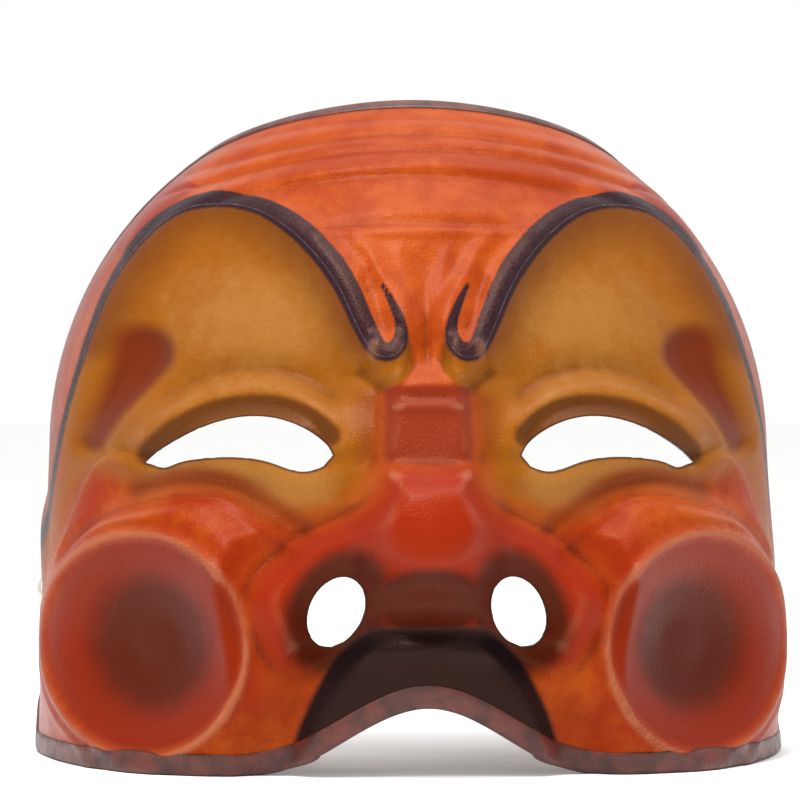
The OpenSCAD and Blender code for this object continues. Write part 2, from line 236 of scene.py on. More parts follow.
@dataclass(frozen=True)
class HeadForm:
    """The smooth form under the relief: a rounded front, straight side walls and a domed crown."""

    half_width: float = 94.0
    form_depth: float = 84.0
    wall_length: float = 18.0
    temple_height: float = 79.0
    crown_rise: float = 92.0
    mouth_rise: float = 17.0
    mouth_half: float = 42.0
    hem_depth: float = 3.2
    jaw_flare: float = 0.03
    front_share: float = 0.885
    low_share: float = 18 / 40

    def lower_edge(self, x: np.ndarray) -> np.ndarray:
        """Height of the leather's lower edge at distance x from the middle."""
        return self.hem_depth + self.mouth_rise * (1 - ease(np.abs(x) / self.mouth_half))

    def point(self, q: np.ndarray, v: np.ndarray) -> np.ndarray:
        """A point of the form.

        Args:
            q: from -1 at one rear edge to 1 at the other.
            v: from 0 at the lower edge to 1 at the upper one.

        Returns:
            Points in the mask's own frame, whose Y is 0 at the rear edge.
        """
        reach = np.where(v < 0.3, 1 - 0.16 * (1 - v / 0.3) ** 2, 1)
        s = np.abs(q) * reach
        turn = np.pi / 2 * np.minimum(1, s / self.front_share)
        beyond = np.maximum(0, s - self.front_share) / (1 - self.front_share)
        kept = 1 - 0.8 * ease((v - 0.55) / 0.45)
        share = np.maximum(0, (v - self.low_share) / (1 - self.low_share))
        latitude = np.radians(72 - 22 * s**2) * share
        flare = 1 + self.jaw_flare * np.maximum(0, 1 - v / self.low_share)
        x = self.half_width * np.cos(latitude) * np.sin(turn) * flare
        y = (-self.wall_length - self.form_depth * np.cos(latitude) * np.cos(turn)
             + self.wall_length * kept * beyond)
        low = self.lower_edge(x)
        z_low = low + (self.temple_height - low) * v / self.low_share
        z = np.where(v > self.low_share, self.temple_height + self.crown_rise * np.sin(latitude), z_low)
        return np.stack([np.sign(q) * x, y, z], -1)

    def outward(self, p: np.ndarray) -> np.ndarray:
        """Outward directions at points of the form."""
        return unit(np.stack([
            p[..., 0] / self.half_width**2,
            np.minimum(0, p[..., 1] + self.wall_length) / self.form_depth**2,
            np.maximum(0, p[..., 2] - self.temple_height) / self.crown_rise**2,
        ], -1))


@dataclass(frozen=True)
class Rivets:
    """Where the two strap rivets sit, and the axis that the strap turns about."""

    right_height: float = 52.0
    left_height: float = 40.0
    setback: float = 10.0
    seat_flat: float = 16.0
    seat_fade: float = 14.0

    def side(self, form: HeadForm, height: float) -> float:
        """Distance of the side wall from the middle at that height."""
        rise = (form.temple_height - height) / (form.temple_height - form.hem_depth)
        return form.half_width * (1 + form.jaw_flare * rise)

    def right(self, form: HeadForm) -> np.ndarray:
        """Middle of the right rivet, on the wall's outside."""
        return np.array([self.side(form, self.right_height), -self.setback, self.right_height])

    def left(self, form: HeadForm) -> np.ndarray:
        """Middle of the left rivet, on the wall's outside."""
        return np.array([-self.side(form, self.left_height), -self.setback, self.left_height])

    def axis(self, form: HeadForm) -> np.ndarray:
        """Direction from the left rivet to the right one."""
        return unit(self.right(form) - self.left(form))

    def seated(self, p: np.ndarray, form: HeadForm) -> np.ndarray:
        """Flattens the wall square to the axis around each rivet.

        Args:
            p: points of the shell.
            form: the head form.

        Returns:
            The points, moved along X near the rivets.
        """
        axis = self.axis(form)
        rivet = np.where(p[..., :1] > 0, self.right(form), self.left(form))
        away = np.hypot(p[..., 1] - rivet[..., 1], p[..., 2] - rivet[..., 2])
        share = 1 - ease((away - self.seat_flat) / self.seat_fade)
        flat_x = rivet[..., 0] - (p[..., 2] - rivet[..., 2]) * axis[2] / axis[0]
        moved = p.copy()
        moved[..., 0] += share * (flat_x - p[..., 0])
        return moved


# ---------------------------------------------------------------- lines and areas, (side, height) in mm

# The hook at the inner end of the brow takes four spans of eight steps each.
HOOK_STEPS = 32
# The brow ridge: its hooked inner end, its arch over the eye and its way down the side.
BROW = smooth_line([
    (10.6, 119.5), (8.7, 115.9), (6.6, 110.8), (6.0, 106.8), (7.1, 103.6), (9.4, 102.3), (12.2, 103.6),
    (15.4, 110), (19, 118.3), (23.6, 125.8), (31.3, 134), (40, 139.3), (50, 141.3), (59, 139.8),
    (66.5, 135), (73, 127.5), (78, 119), (82, 109), (85.5, 98), (88.5, 87), (91.3, 75), (93.5, 62),
    (95, 50),
])
# The ochre orbit, from the hook out along the brow and back below the eye and beside the nose.
ORBIT = np.vstack([
    BROW[HOOK_STEPS:], smooth_line([(93, 48), (90, 56), (87, 66), (81, 73), (74, 71), (68, 67.5),
    (58, 70.5), (47, 69.5), (38, 64), (28, 63), (19, 66.5), (13.5, 72), (12, 80), (11.8, 89),
    (10.8, 93.4), (7, 95), (4, 98), (3.3, 102), (4.3, 107)]),
])
# The fold above the eye, the crease over it and the dark strip under it.
LID_FOLD = smooth_line([
    (21, 80), (24, 87), (32, 92.8), (40, 94.8), (46, 94.8), (54, 93), (63, 87.5), (69, 82),
])
LID_CREASE = smooth_line([(24, 92.5), (32, 98), (43, 100.4), (55, 98.5), (65, 92.5)])
LID_STRIP = smooth_line([
    (23.5, 82.5), (28, 86.4), (35, 89.3), (43, 90), (52, 88.4), (60, 84), (68, 77.6),
])
# The lower lid, the bag below it and the shade between them.
LOWER_LID = smooth_line([(21, 73.5), (30, 71), (42, 73.2), (54, 74.5), (66, 73)])
BAG = smooth_line([
    (106, 26), (96, 38), (89.6, 47.5), (84.5, 54.5), (78.3, 61.2), (71.5, 64.6), (64, 66.8), (56, 68),
    (48, 66.6), (39, 61.6), (32, 56.5),
])
BAG_SHADE = smooth_line([(31, 60.5), (38.5, 65.5), (47, 70.5), (56, 72), (64, 70.8), (70, 69)])
# The pouch that hangs from the bag, and the fold in it.
POUCH = np.vstack([
    BAG, smooth_line([(33, 55.2), (38, 55.6), (42, 51.5), (44.2, 45), (43.2, 38), (40.6, 31),
    (39.2, 20), (39, -5)]), [(115, -5)],
])
POUCH_FOLD = smooth_line([(72, 60), (64, 63.2), (56, 62), (49, 57.5), (46, 52)])
# The crow's-foot panel beside the eye.
CORNER_EDGE = smooth_line([(76, 79.5), (80.5, 77.6), (85, 71.5), (87.6, 63), (89.2, 53), (89.6, 46)])
CORNER = np.vstack([
    CORNER_EDGE, smooth_line([(84.5, 55.5), (78.3, 62.2), (70, 66.4), (62, 70), (66, 76)]),
])
# The nose: the upper edge of its wing, its underside and its whole outline.
WING = smooth_line([
    (10.4, 75.5), (12.6, 70.4), (16.5, 66.4), (22.2, 63), (30.4, 59), (36, 54.6), (40.5, 49.5),
    (42.9, 44), (42.3, 38), (39.8, 31.5), (36.5, 26),
])
NOSE_FLOOR = smooth_line([(31, 25), (20, 29), (11, 34), (0, 36)])
NOSE = np.vstack([WING, NOSE_FLOOR, (NOSE_FLOOR * (-1, 1))[-2::-1], (WING * (-1, 1))[::-1]])
# The lobe beyond the brow's arch, and the temple's hollow.
LOBE = smooth_line([(56, 146), (63, 143.5), (70, 137), (75.5, 129)])
DIMPLE = smooth_line([(71, 104), (74, 98), (78, 90), (83, 81)])
# The upper edge of the black lip, and the lip itself.
LIP = smooth_line([
    (0, 36.8), (8, 36.9), (14, 36), (18.5, 33), (22, 29), (25.5, 24), (30, 15), (33, 5), (35, -8),
])
LIP_AREA = np.vstack([LIP, (LIP * (-1, 1))[::-1]])
# The folds of the frown.
FROWN_OUTER = smooth_line([(21, 131), (14.5, 129.5), (10.5, 122), (5, 114), (2.2, 103)])
FROWN_INNER = smooth_line([(6, 128), (3.5, 121), (0.9, 114), (0.3, 107)])
# The edge of the bulge under the brow's hook.
KNOB = smooth_line([
    (16, 97.6), (13.5, 95.5), (10.5, 94.5), (7, 95.3), (4.4, 97.8), (3.2, 101.5), (3.2, 106),
])
# Half of the painted band's width, in mm, at shares of the brow's line.
BAND_SHARE = (0, 0.05, 0.12, 0.2, 0.27, 0.32, 0.4, 0.46, 0.5, 0.55, 0.6, 0.7, 1)
BAND_HALF = (0.5, 0.9, 1.5, 2.1, 2.4, 2.8, 3.1, 2.8, 2.2, 1.9, 1.5, 1.0, 0.55)


@dataclass(frozen=True)
class Relief:
    """The carved relief over the head form, in mm.

    Its methods take x, the distance from the middle plane, and z, the height. Both sides share them.
    """

    nose_reach: float = 22.0
    nose_height: float = 61.0
    cheek_side: float = 66.0
    cheek_height: float = 31.0
    cheek_swell: float = 7.0
    nostril_side: float = 22.0
    nostril_height: float = 40.0
    nostril_long: float = 8.9
    nostril_short: float = 6.4
    nostril_lean: float = 24.0

    def cheek_radius(self, x: np.ndarray, z: np.ndarray) -> np.ndarray:
        """1 on the ring round a cheek, less inside it."""
        return np.hypot((x - self.cheek_side) / 24, (z - self.cheek_height) / 27.5)

    def nostril_radius(self, x: np.ndarray, z: np.ndarray) -> np.ndarray:
        """1 on a nostril's edge, less inside it."""
        a, b = turned(x - self.nostril_side, z - self.nostril_height, -self.nostril_lean)
        return np.hypot(a / self.nostril_short, b / self.nostril_long)

    def brow(self, x: np.ndarray, z: np.ndarray) -> np.ndarray:
        """The brow ridge, and the hollow of the orbit below it.

        Args:
            x: distance from the middle plane, in mm.
            z: height, in mm.

        Returns:
            The relief, in mm.
        """
        d, share = line_distance(x, z, BROW)
        inside = depth_inside(x, z, ORBIT)
        hollow = -5.5 * ease(inside / 15) * ease((z - 84) / 16) * (1 - 0.45 * ease((x - 66) / 14))
        return 2.6 * bell(d, 4.2) * ease(share / 0.1) + hollow

    def eye(self, x: np.ndarray, z: np.ndarray) -> np.ndarray:
        """The lids, the fold above the upper lid and the bag below the lower one.

        Args:
            x: distance from the middle plane, in mm.
            z: height, in mm.

        Returns:
            The relief, in mm.
        """
        globe = 3.8 * bell(x - 45, 27) * bell(z - 83, 9)
        fold = 1.5 * bell(line_distance(x, z, LID_FOLD)[0], 2.9)
        crease = -1.3 * bell(line_distance(x, z, LID_CREASE)[0], 2.6)
        crease = crease - 1.6 * bell(line_distance(x, z, LID_STRIP)[0], 2.2)
        lower = 0.9 * bell(line_distance(x, z, LOWER_LID)[0], 2.6)
        return globe + fold + crease + lower

    def temple(self, x: np.ndarray, z: np.ndarray) -> np.ndarray:
        """The hollow at the temple, and the raised lobe beyond the brow.

        Args:
            x: distance from the middle plane, in mm.
            z: height, in mm.

        Returns:
            The relief, in mm.
        """
        d, share = line_distance(x, z, DIMPLE)
        hollow = -2.8 * (1 - ease((d - 1.5) / (7.5 - 3.5 * share)))
        d, share = line_distance(x, z, LOBE)
        lobe = 2.2 * (1 - ease((d - 0.5) / 4)) * np.sqrt(np.clip(4 * share * (1 - share), 0, 1))
        return hollow + lobe

    def cheek(self, x: np.ndarray, z: np.ndarray) -> np.ndarray:
        """The pouch, its folds, the crow's-foot panel, and the ring and bowl of the cheek.

        Args:
            x: distance from the middle plane, in mm.
            z: height, in mm.

        Returns:
            The relief, in mm.
        """
        r = self.cheek_radius(x, z)
        pouch = 3.4 * ease(depth_inside(x, z, POUCH) / (3.2 + 7 * ease((54 - x) / 14)))
        d, share = line_distance(x, z, POUCH_FOLD)
        fold = 0.8 * bell(d, 1.9) * ease(share / 0.25) * ease((1 - share) / 0.3)
        bag = 0.9 * bell(line_distance(x, z, BAG)[0] - 1.2, 1.2)
        bag = bag - 0.8 * bell(line_distance(x, z, BAG_SHADE)[0], 3)
        fade = 1 - ease((line_distance(x, z, CORNER_EDGE)[0] - 2) / 12)
        corner = 3.2 * ease(depth_inside(x, z, CORNER) / 2.6) * fade
        swell = self.cheek_swell * (1 - ease((r - 0.97) / 0.62)) - 2.0
        ring = 2.0 * bell(r - 1, 0.045) + 0.9 * bell(r - 1.13, 0.04) * ease((x - 60) / 10)
        bowl = -6.5 * (1 - ease((r - 0.5) / 0.5)) - 4.0 * (1 - ease((r - 0.2) / 0.5))
        return pouch + fold + bag + corner + np.maximum(swell, -2.0) + ring + bowl

    def forehead(self, x: np.ndarray, z: np.ndarray) -> np.ndarray:
        """The frown between the brows, the lens above it and the arched wrinkles.

        Args:
            x: distance from the middle plane, in mm.
            z: height, in mm.

        Returns:
            The relief, in mm.
        """
        d, share = line_distance(x, z, FROWN_OUTER)
        outer = 1.1 * bell(d, 2.2) * ease(share / 0.2)
        inner = 0.4 * bell(line_distance(x, z, FROWN_INNER)[0], 1.6)
        spread = 1.5 + 0.4 * np.maximum(0, z - 111)
        panel = -1.0 * bell(x / spread, 1) * ease((z - 109) / 9) * ease((131 - z) / 7)
        groove = -0.9 * bell(x, 1.1) * ease((z - 97) / 5) * ease((114 - z) / 5)
        low = 133.9 - x * x / 1100
        rise = z - low
        half = 4.6 * np.sqrt(np.clip(1 - (x / 28) ** 2, 0, 1))
        lens = -0.9 * ease(rise / 0.7) * ease((half - rise) / 3.4)
        lens = lens + 0.9 * bell(rise + 0.9, 1.3) * ease((29 - x) / 5)
        arch = z + x * x / 361
        wide = ease((62 - x) / 16)
        upper = (1.4 * bell(arch - 150.6, 2.4) - 1.0 * bell(arch - 147.8, 1.0)) * wide
        stack = sum(0.8 * bell(arch - c, 1.3) - 0.9 * bell(arch - c + 1.9, 0.7) for c in (156.5, 161, 165))
        knob = 2.2 * (1 - ease((np.hypot((x - 9.6) / 6.6, (z - 101.5) / 7.4) - 0.55) / 0.5))
        crease = -0.6 * bell(line_distance(x, z, KNOB)[0], 1.5)
        wrinkles = upper + stack * ease((80 - x) / 20)
        return outer + inner + panel + groove + lens + wrinkles + knob + crease

    def outward(self, x: np.ndarray, z: np.ndarray) -> np.ndarray:
        """Relief that rises from the form along its outward direction."""
        return self.brow(x, z) + self.eye(x, z) + self.temple(x, z) + self.cheek(x, z) + self.forehead(x, z)

    def forward(self, x: np.ndarray, z: np.ndarray) -> np.ndarray:
        """The nose and the lip.

        Args:
            x: distance from the middle plane, in mm.
            z: height, in mm.

        Returns:
            The relief towards the front, in mm.
        """
        mass = 0.42 * self.nose_reach * bell(x, 27) * bell(z - 53, 27)
        side = x - 0.12 * np.maximum(0, 91 - z)
        bridge = 5.4 * (1 - ease((side - 6.4) / 6.2)) * ease((z - 68) / 8) * ease((104 - z) / 11)
        creases = -(1.1 * bell(z - 76.2, 1.4) + 1.3 * bell(z - 92.2, 1.6)) * (1 - ease((side - 7) / 5))
        edge = 0.8 * bell(z - 89.8, 1.1) * (1 - ease((side - 8) / 3))
        box = ((x / 16.5) ** 4 + ((z - self.nose_height - 1) / 13.5) ** 4) ** 0.25
        shield = 0.40 * self.nose_reach * (1 - ease((box - 0.5) / 0.75))
        ball = 0.18 * self.nose_reach * bell(np.hypot(x / 20, (z - self.nose_height + 1) / 17), 0.9)
        arch = 0.6 * bell(box - 0.86, 0.07) * ease((z - 67) / 5)
        r = self.nostril_radius(x, z)
        wing_inside = depth_inside(x, z, NOSE)
        from_edge, _ = line_distance(x, z, WING)
        wing = 6.4 * ease((wing_inside + 0.6) / 8.5) + 2.2 * bell(from_edge - 6, 6) * ease(x / 24)
        wing = wing + 0.7 * bell(from_edge - 1.6, 1.5) * ease((x - 12) / 6)
        recess = -8.0 * bell(r, 1.45)
        septum = 1.6 * bell(x, 8) * bell(z - 43, 8)
        lip_inside = depth_inside(x, z, LIP_AREA)
        lip = 4.4 * ease((lip_inside + 0.8) / 6) + 0.9 * bell(z - 31 + x * x / 150, 1.8) * ease((20 - x) / 8)
        return mass + bridge + creases + edge + shield + ball + arch + wing + recess + septum + lip


@dataclass(frozen=True)
class Openings:
    """Outlines of the eye slits and nostrils, seen from the front."""

    relief: Relief
    eye_inner: float = 22.7
    eye_length: float = 45.3
    eye_height: float = 77.8
    eye_droop: float = 2.3
    eye_rise: float = 10.3

    def eye_outline(self) -> np.ndarray:
        """Draws the eye slit on the +X side.

        Returns:
            Its outline, one point per row: along the lower lid and back along the upper one.
        """
        s = np.linspace(0, 1, 40)
        upper = self.eye_rise * np.sin(np.pi * s**0.85) ** 0.8
        ends = np.minimum(1, np.minimum(s / 0.04, (1 - s) / 0.04))
        lower = ends * (-3.7 * bell(s - 0.15, 0.17) + 0.7 * bell(s - 0.6, 0.18) - 1.4 * bell(s - 0.9, 0.07))
        base = self.eye_height - self.eye_droop * s
        x = self.eye_inner + self.eye_length * s
        low = np.stack([x, base + lower - 0.05], -1)
        high = np.stack([x, base + upper], -1)[-2:0:-1]
        return np.vstack([low, high])

    def clearance(self, x: np.ndarray, z: np.ndarray) -> np.ndarray:
        """How far places are from the nearest opening.

        Args:
            x, z: the places. x may be on either side.

        Returns:
            The distance in mm, positive on the leather and negative in an opening.
        """
        side = np.abs(x)
        eye = -depth_inside(side, z, self.eye_outline())
        r = self.relief
        nostril = (r.nostril_radius(side, z) - 1) * 7.4
        return np.minimum(eye, nostril)


@dataclass
class FaceSurface:
    """The outer surface of the leather: the form, its relief and the flats round the rivets."""

    form: HeadForm = field(default_factory=HeadForm)
    relief: Relief = field(default_factory=Relief)
    rivets: Rivets = field(default_factory=Rivets)
    shift_y: float = 0.0

    def outer(self, q: np.ndarray, v: np.ndarray) -> tuple[np.ndarray, np.ndarray]:
        """The outer surface in the part's frame.

        Args:
            q: from -1 at the left rear edge to 1 at the right one.
            v: from 0 at the lower edge to 1 at the upper one.

        Returns:
            The surface's points, and the form's points that they grew from.
        """
        base = self.form.point(q, v)
        out = self.form.outward(base)
        x, z = np.abs(base[..., 0]), base[..., 2]
        facing = ease(-2.2 * out[..., 1]) * ease((1 - v) * 10)
        push = out * np.array([0.6, 1.0, 0.6])
        p = base + (facing * self.relief.outward(x, z))[..., None] * push
        p[..., 1] -= self.relief.forward(x, z)
        p = self.rivets.seated(p, self.form)
        p[..., 1] += self.shift_y
        return p, base

    def frame(self, q: np.ndarray, v: np.ndarray) -> tuple[np.ndarray, np.ndarray, np.ndarray, np.ndarray]:
        """The surface's directions, by small differences.

        Args:
            q, v: the places, as for outer.

        Returns:
            Points, outward directions, and the surface's speeds along q and v.
        """
        h = 0.004
        q0, q1 = np.maximum(q - h, -1), np.minimum(q + h, 1)
        v0, v1 = np.maximum(v - h, 0), np.minimum(v + h, 1)
        dq = (self.outer(q1, v)[0] - self.outer(q0, v)[0]) / (q1 - q0)[:, None]
        dv = (self.outer(q, v1)[0] - self.outer(q, v0)[0]) / (v1 - v0)[:, None]
        return self.outer(q, v)[0], unit(np.cross(dq, dv)), dq, dv

    @staticmethod
    def normals(p: np.ndarray) -> np.ndarray:
        """Outward directions of a grid of points. The lowest row stays level.

        Args:
            p: the points, by row and column.

        Returns:
            A unit vector per point.
        """
        along = np.gradient(p, axis=1)
        up = np.gradient(p, axis=0)
        n = unit(np.cross(along, up))
        n[0, :, 2] = 0
        n[0] = unit(n[0])
        return n


# ---------------------------------------------------------------- finishes


Color = tuple[float, float, float]
Socket = bpy.types.NodeSocket
Value = Socket | float
Shade = Socket | Color
Stretch = tuple[float, float, float] | None


def paint(code: str) -> Color:
    """Args: code, a colour as six hex digits. Returns: its linear red, green and blue."""
    c = np.array([int(code[i : i + 2], 16) for i in (0, 2, 4)]) / 255
    return tuple(float(v) for v in np.where(c <= 0.04045, c / 12.92, ((c + 0.055) / 1.055) ** 2.4))


class Graph:
    """Builds a material's node tree, one short call per node."""

    def __init__(self, name: str) -> None:
        """Args: name, the new material's name."""
        self.material = bpy.data.materials.new(name)
        self.material.use_nodes = True
        self.tree = self.material.node_tree
        self.shader = self.tree.nodes["Principled BSDF"]
        self.coords = self.tree.nodes.new("ShaderNodeTexCoord").outputs["Object"]

    def put(self, value: Value | Shade, socket: Socket) -> None:
        """Links a node's output to a socket, or sets the socket to a plain value."""
        if isinstance(value, bpy.types.NodeSocket):
            self.tree.links.new(value, socket)
        elif isinstance(value, tuple) and len(value) == 3 and socket.type == "RGBA":
            socket.default_value = (*value, 1.0)
        else:
            socket.default_value = value

    def attribute(self, name: str) -> Socket:
        """Args: name, a number stored on the mesh. Returns: its output."""
        node = self.tree.nodes.new("ShaderNodeAttribute")
        node.attribute_name = name
        return node.outputs["Fac"]

    def math(self, kind: str, a: Value, b: Value = 0.0) -> Socket:
        """One sum of two values.

        Args:
            kind: ADD, MULTIPLY and so on.
            a, b: the values.

        Returns:
            The sum's output.
        """
        node = self.tree.nodes.new("ShaderNodeMath")
        node.operation = kind
        self.put(a, node.inputs[0])
        self.put(b, node.inputs[1])
        return node.outputs[0]

    def step(self, value: Value, low: Value, high: Value, to_low: float = 0.0,
             to_high: float = 1.0) -> Socket:
        """A smooth step.

        Args:
            value: what is compared with low and high.
            low, high: where the step starts and ends.
            to_low, to_high: the result at low and at high.

        Returns:
            The result's output.
        """
        node = self.tree.nodes.new("ShaderNodeMapRange")
        node.interpolation_type = "SMOOTHSTEP"
        for socket, v in zip(node.inputs, (value, low, high, to_low, to_high)):
            self.put(v, socket)
        return node.outputs[0]

    def noise(self, size_mm: float, detail: float = 3.0, rough: float = 0.55,
              stretch: Stretch = None) -> Socket:
        """Cloudy noise from 0 to 1.

        Args:
            size_mm: about how large its features are.
            detail: how many finer layers it has.
            rough: how strong the finer layers are.
            stretch: how much longer the features are along X, Y and Z.

        Returns:
            The noise's output.
        """
        node = self.tree.nodes.new("ShaderNodeTexNoise")
        self.put(self.place(stretch), node.inputs["Vector"])
        node.inputs["Scale"].default_value = 1000.0 / size_mm
        node.inputs["Detail"].default_value = detail
        node.inputs["Roughness"].default_value = rough
        return node.outputs["Fac"]

    def cells(self, size_mm: float) -> Socket:
        """Distance to the nearest of many scattered points.

        Args:
            size_mm: about how far apart the points are.

        Returns:
            The distance's output, from 0 at a point to about 1.
        """
        node = self.tree.nodes.new("ShaderNodeTexVoronoi")
        self.put(self.coords, node.inputs["Vector"])
        node.inputs["Scale"].default_value = 1000.0 / size_mm
        return node.outputs["Distance"]

    def place(self, stretch: Stretch) -> Socket:
        """Object coordinates.

        Args:
            stretch: what they are divided by along each axis, if anything.

        Returns:
            The coordinates' output.
        """
        if stretch is None:
            return self.coords
        node = self.tree.nodes.new("ShaderNodeMapping")
        self.tree.links.new(self.coords, node.inputs["Vector"])
        node.inputs["Scale"].default_value = tuple(1.0 / s for s in stretch)
        return node.outputs["Vector"]

    def mix(self, factor: Value, a: Shade, b: Shade, kind: str = "MIX") -> Socket:
        """Mixes two colours.

        Args:
            factor: 0 for a, 1 for b.
            a, b: the colours.
            kind: the way of mixing.

        Returns:
            The mixed colour's output.
        """
        node = self.tree.nodes.new("ShaderNodeMix")
        node.data_type = "RGBA"
        node.blend_type = kind
        self.put(factor, node.inputs[0])
        self.put(a, node.inputs[6])
        self.put(b, node.inputs[7])
        return node.outputs[2]

    def add(self, a: Value, b: Value) -> Socket:
        """The sum of two values."""
        return self.math("ADD", a, b)

    def times(self, a: Value, b: Value) -> Socket:
        """The product of two values."""
        return self.math("MULTIPLY", a, b)

    def centred(self, noise: Value, size: float) -> Socket:
        """A noise of 0 to 1 moved to lie round 0 and made size wide."""
        return self.times(self.math("SUBTRACT", noise, 0.5), size)

    def layer(self, under: Shade, value: Value, low: Value, high: Value, dye_and_light: Shade,
              strength: float = 1.0) -> Socket:
        """A colour laid over another one where a value is high. It serves dyes, painted highlights and
        painted shade.

        Args:
            under: the colour below.
            value: what is compared with low and high.
            low, high: where the dye starts and where it is full.
            dye_and_light: its colour.
            strength: how much of the laid colour there is where it is full.

        Returns:
            The colour's output.
        """
        return self.mix(self.step(value, low, high, 0.0, strength), under, dye_and_light)

    def darker(self, color: Shade, by: Color) -> Socket:
        """A colour multiplied by another one."""
        return self.mix(1.0, color, by, "MULTIPLY")

    def bump(self, height: Value, depth_mm: float, below: Socket | None = None) -> Socket:
        """Shading of an uneven surface.

        Args:
            height: the surface's height, from 0 to 1.
            depth_mm: the height of 1, in mm.
            below: another bump that this one lies on.

        Returns:
            The bent normal's output.
        """
        node = self.tree.nodes.new("ShaderNodeBump")
        node.inputs["Strength"].default_value = 1.0
        node.inputs["Distance"].default_value = depth_mm * MM
        self.put(height, node.inputs["Height"])
        if below is not None:
            self.put(below, node.inputs["Normal"])
        return node.outputs["Normal"]

    def finish(self, color: Shade, roughness: Value, normal: Socket | None = None,
               **uniform: float | tuple[float, ...]) -> bpy.types.Material:
        """Connects the shader.

        Args:
            color, roughness, normal: its main inputs.
            uniform: its plain numbers by name, with _ for a space.

        Returns:
            The material.
        """
        self.put(color, self.shader.inputs["Base Color"])
        self.put(roughness, self.shader.inputs["Roughness"])
        if normal is not None:
            self.put(normal, self.shader.inputs["Normal"])
        for key, value in uniform.items():
            self.shader.inputs[key.replace("_", " ")].default_value = value
        return self.material


class Marks:
    """The unevenness of handwork, which the edges of all dyes share."""

    def __init__(self, g: Graph) -> None:
        """Args: g, the graph of the material that the marks belong to."""
        self.cloud = g.noise(26, 4, 0.6)
        self.mottle = g.noise(5, 5, 0.65)
        self.hand = g.centred(g.noise(7, 3, 0.6), 1.6)
        self.brush = g.noise(1.3, 4, 0.7)
        self.fine = g.centred(self.brush, 0.6)
        self.patches = g.add(self.cloud, g.times(self.mottle, 0.5))


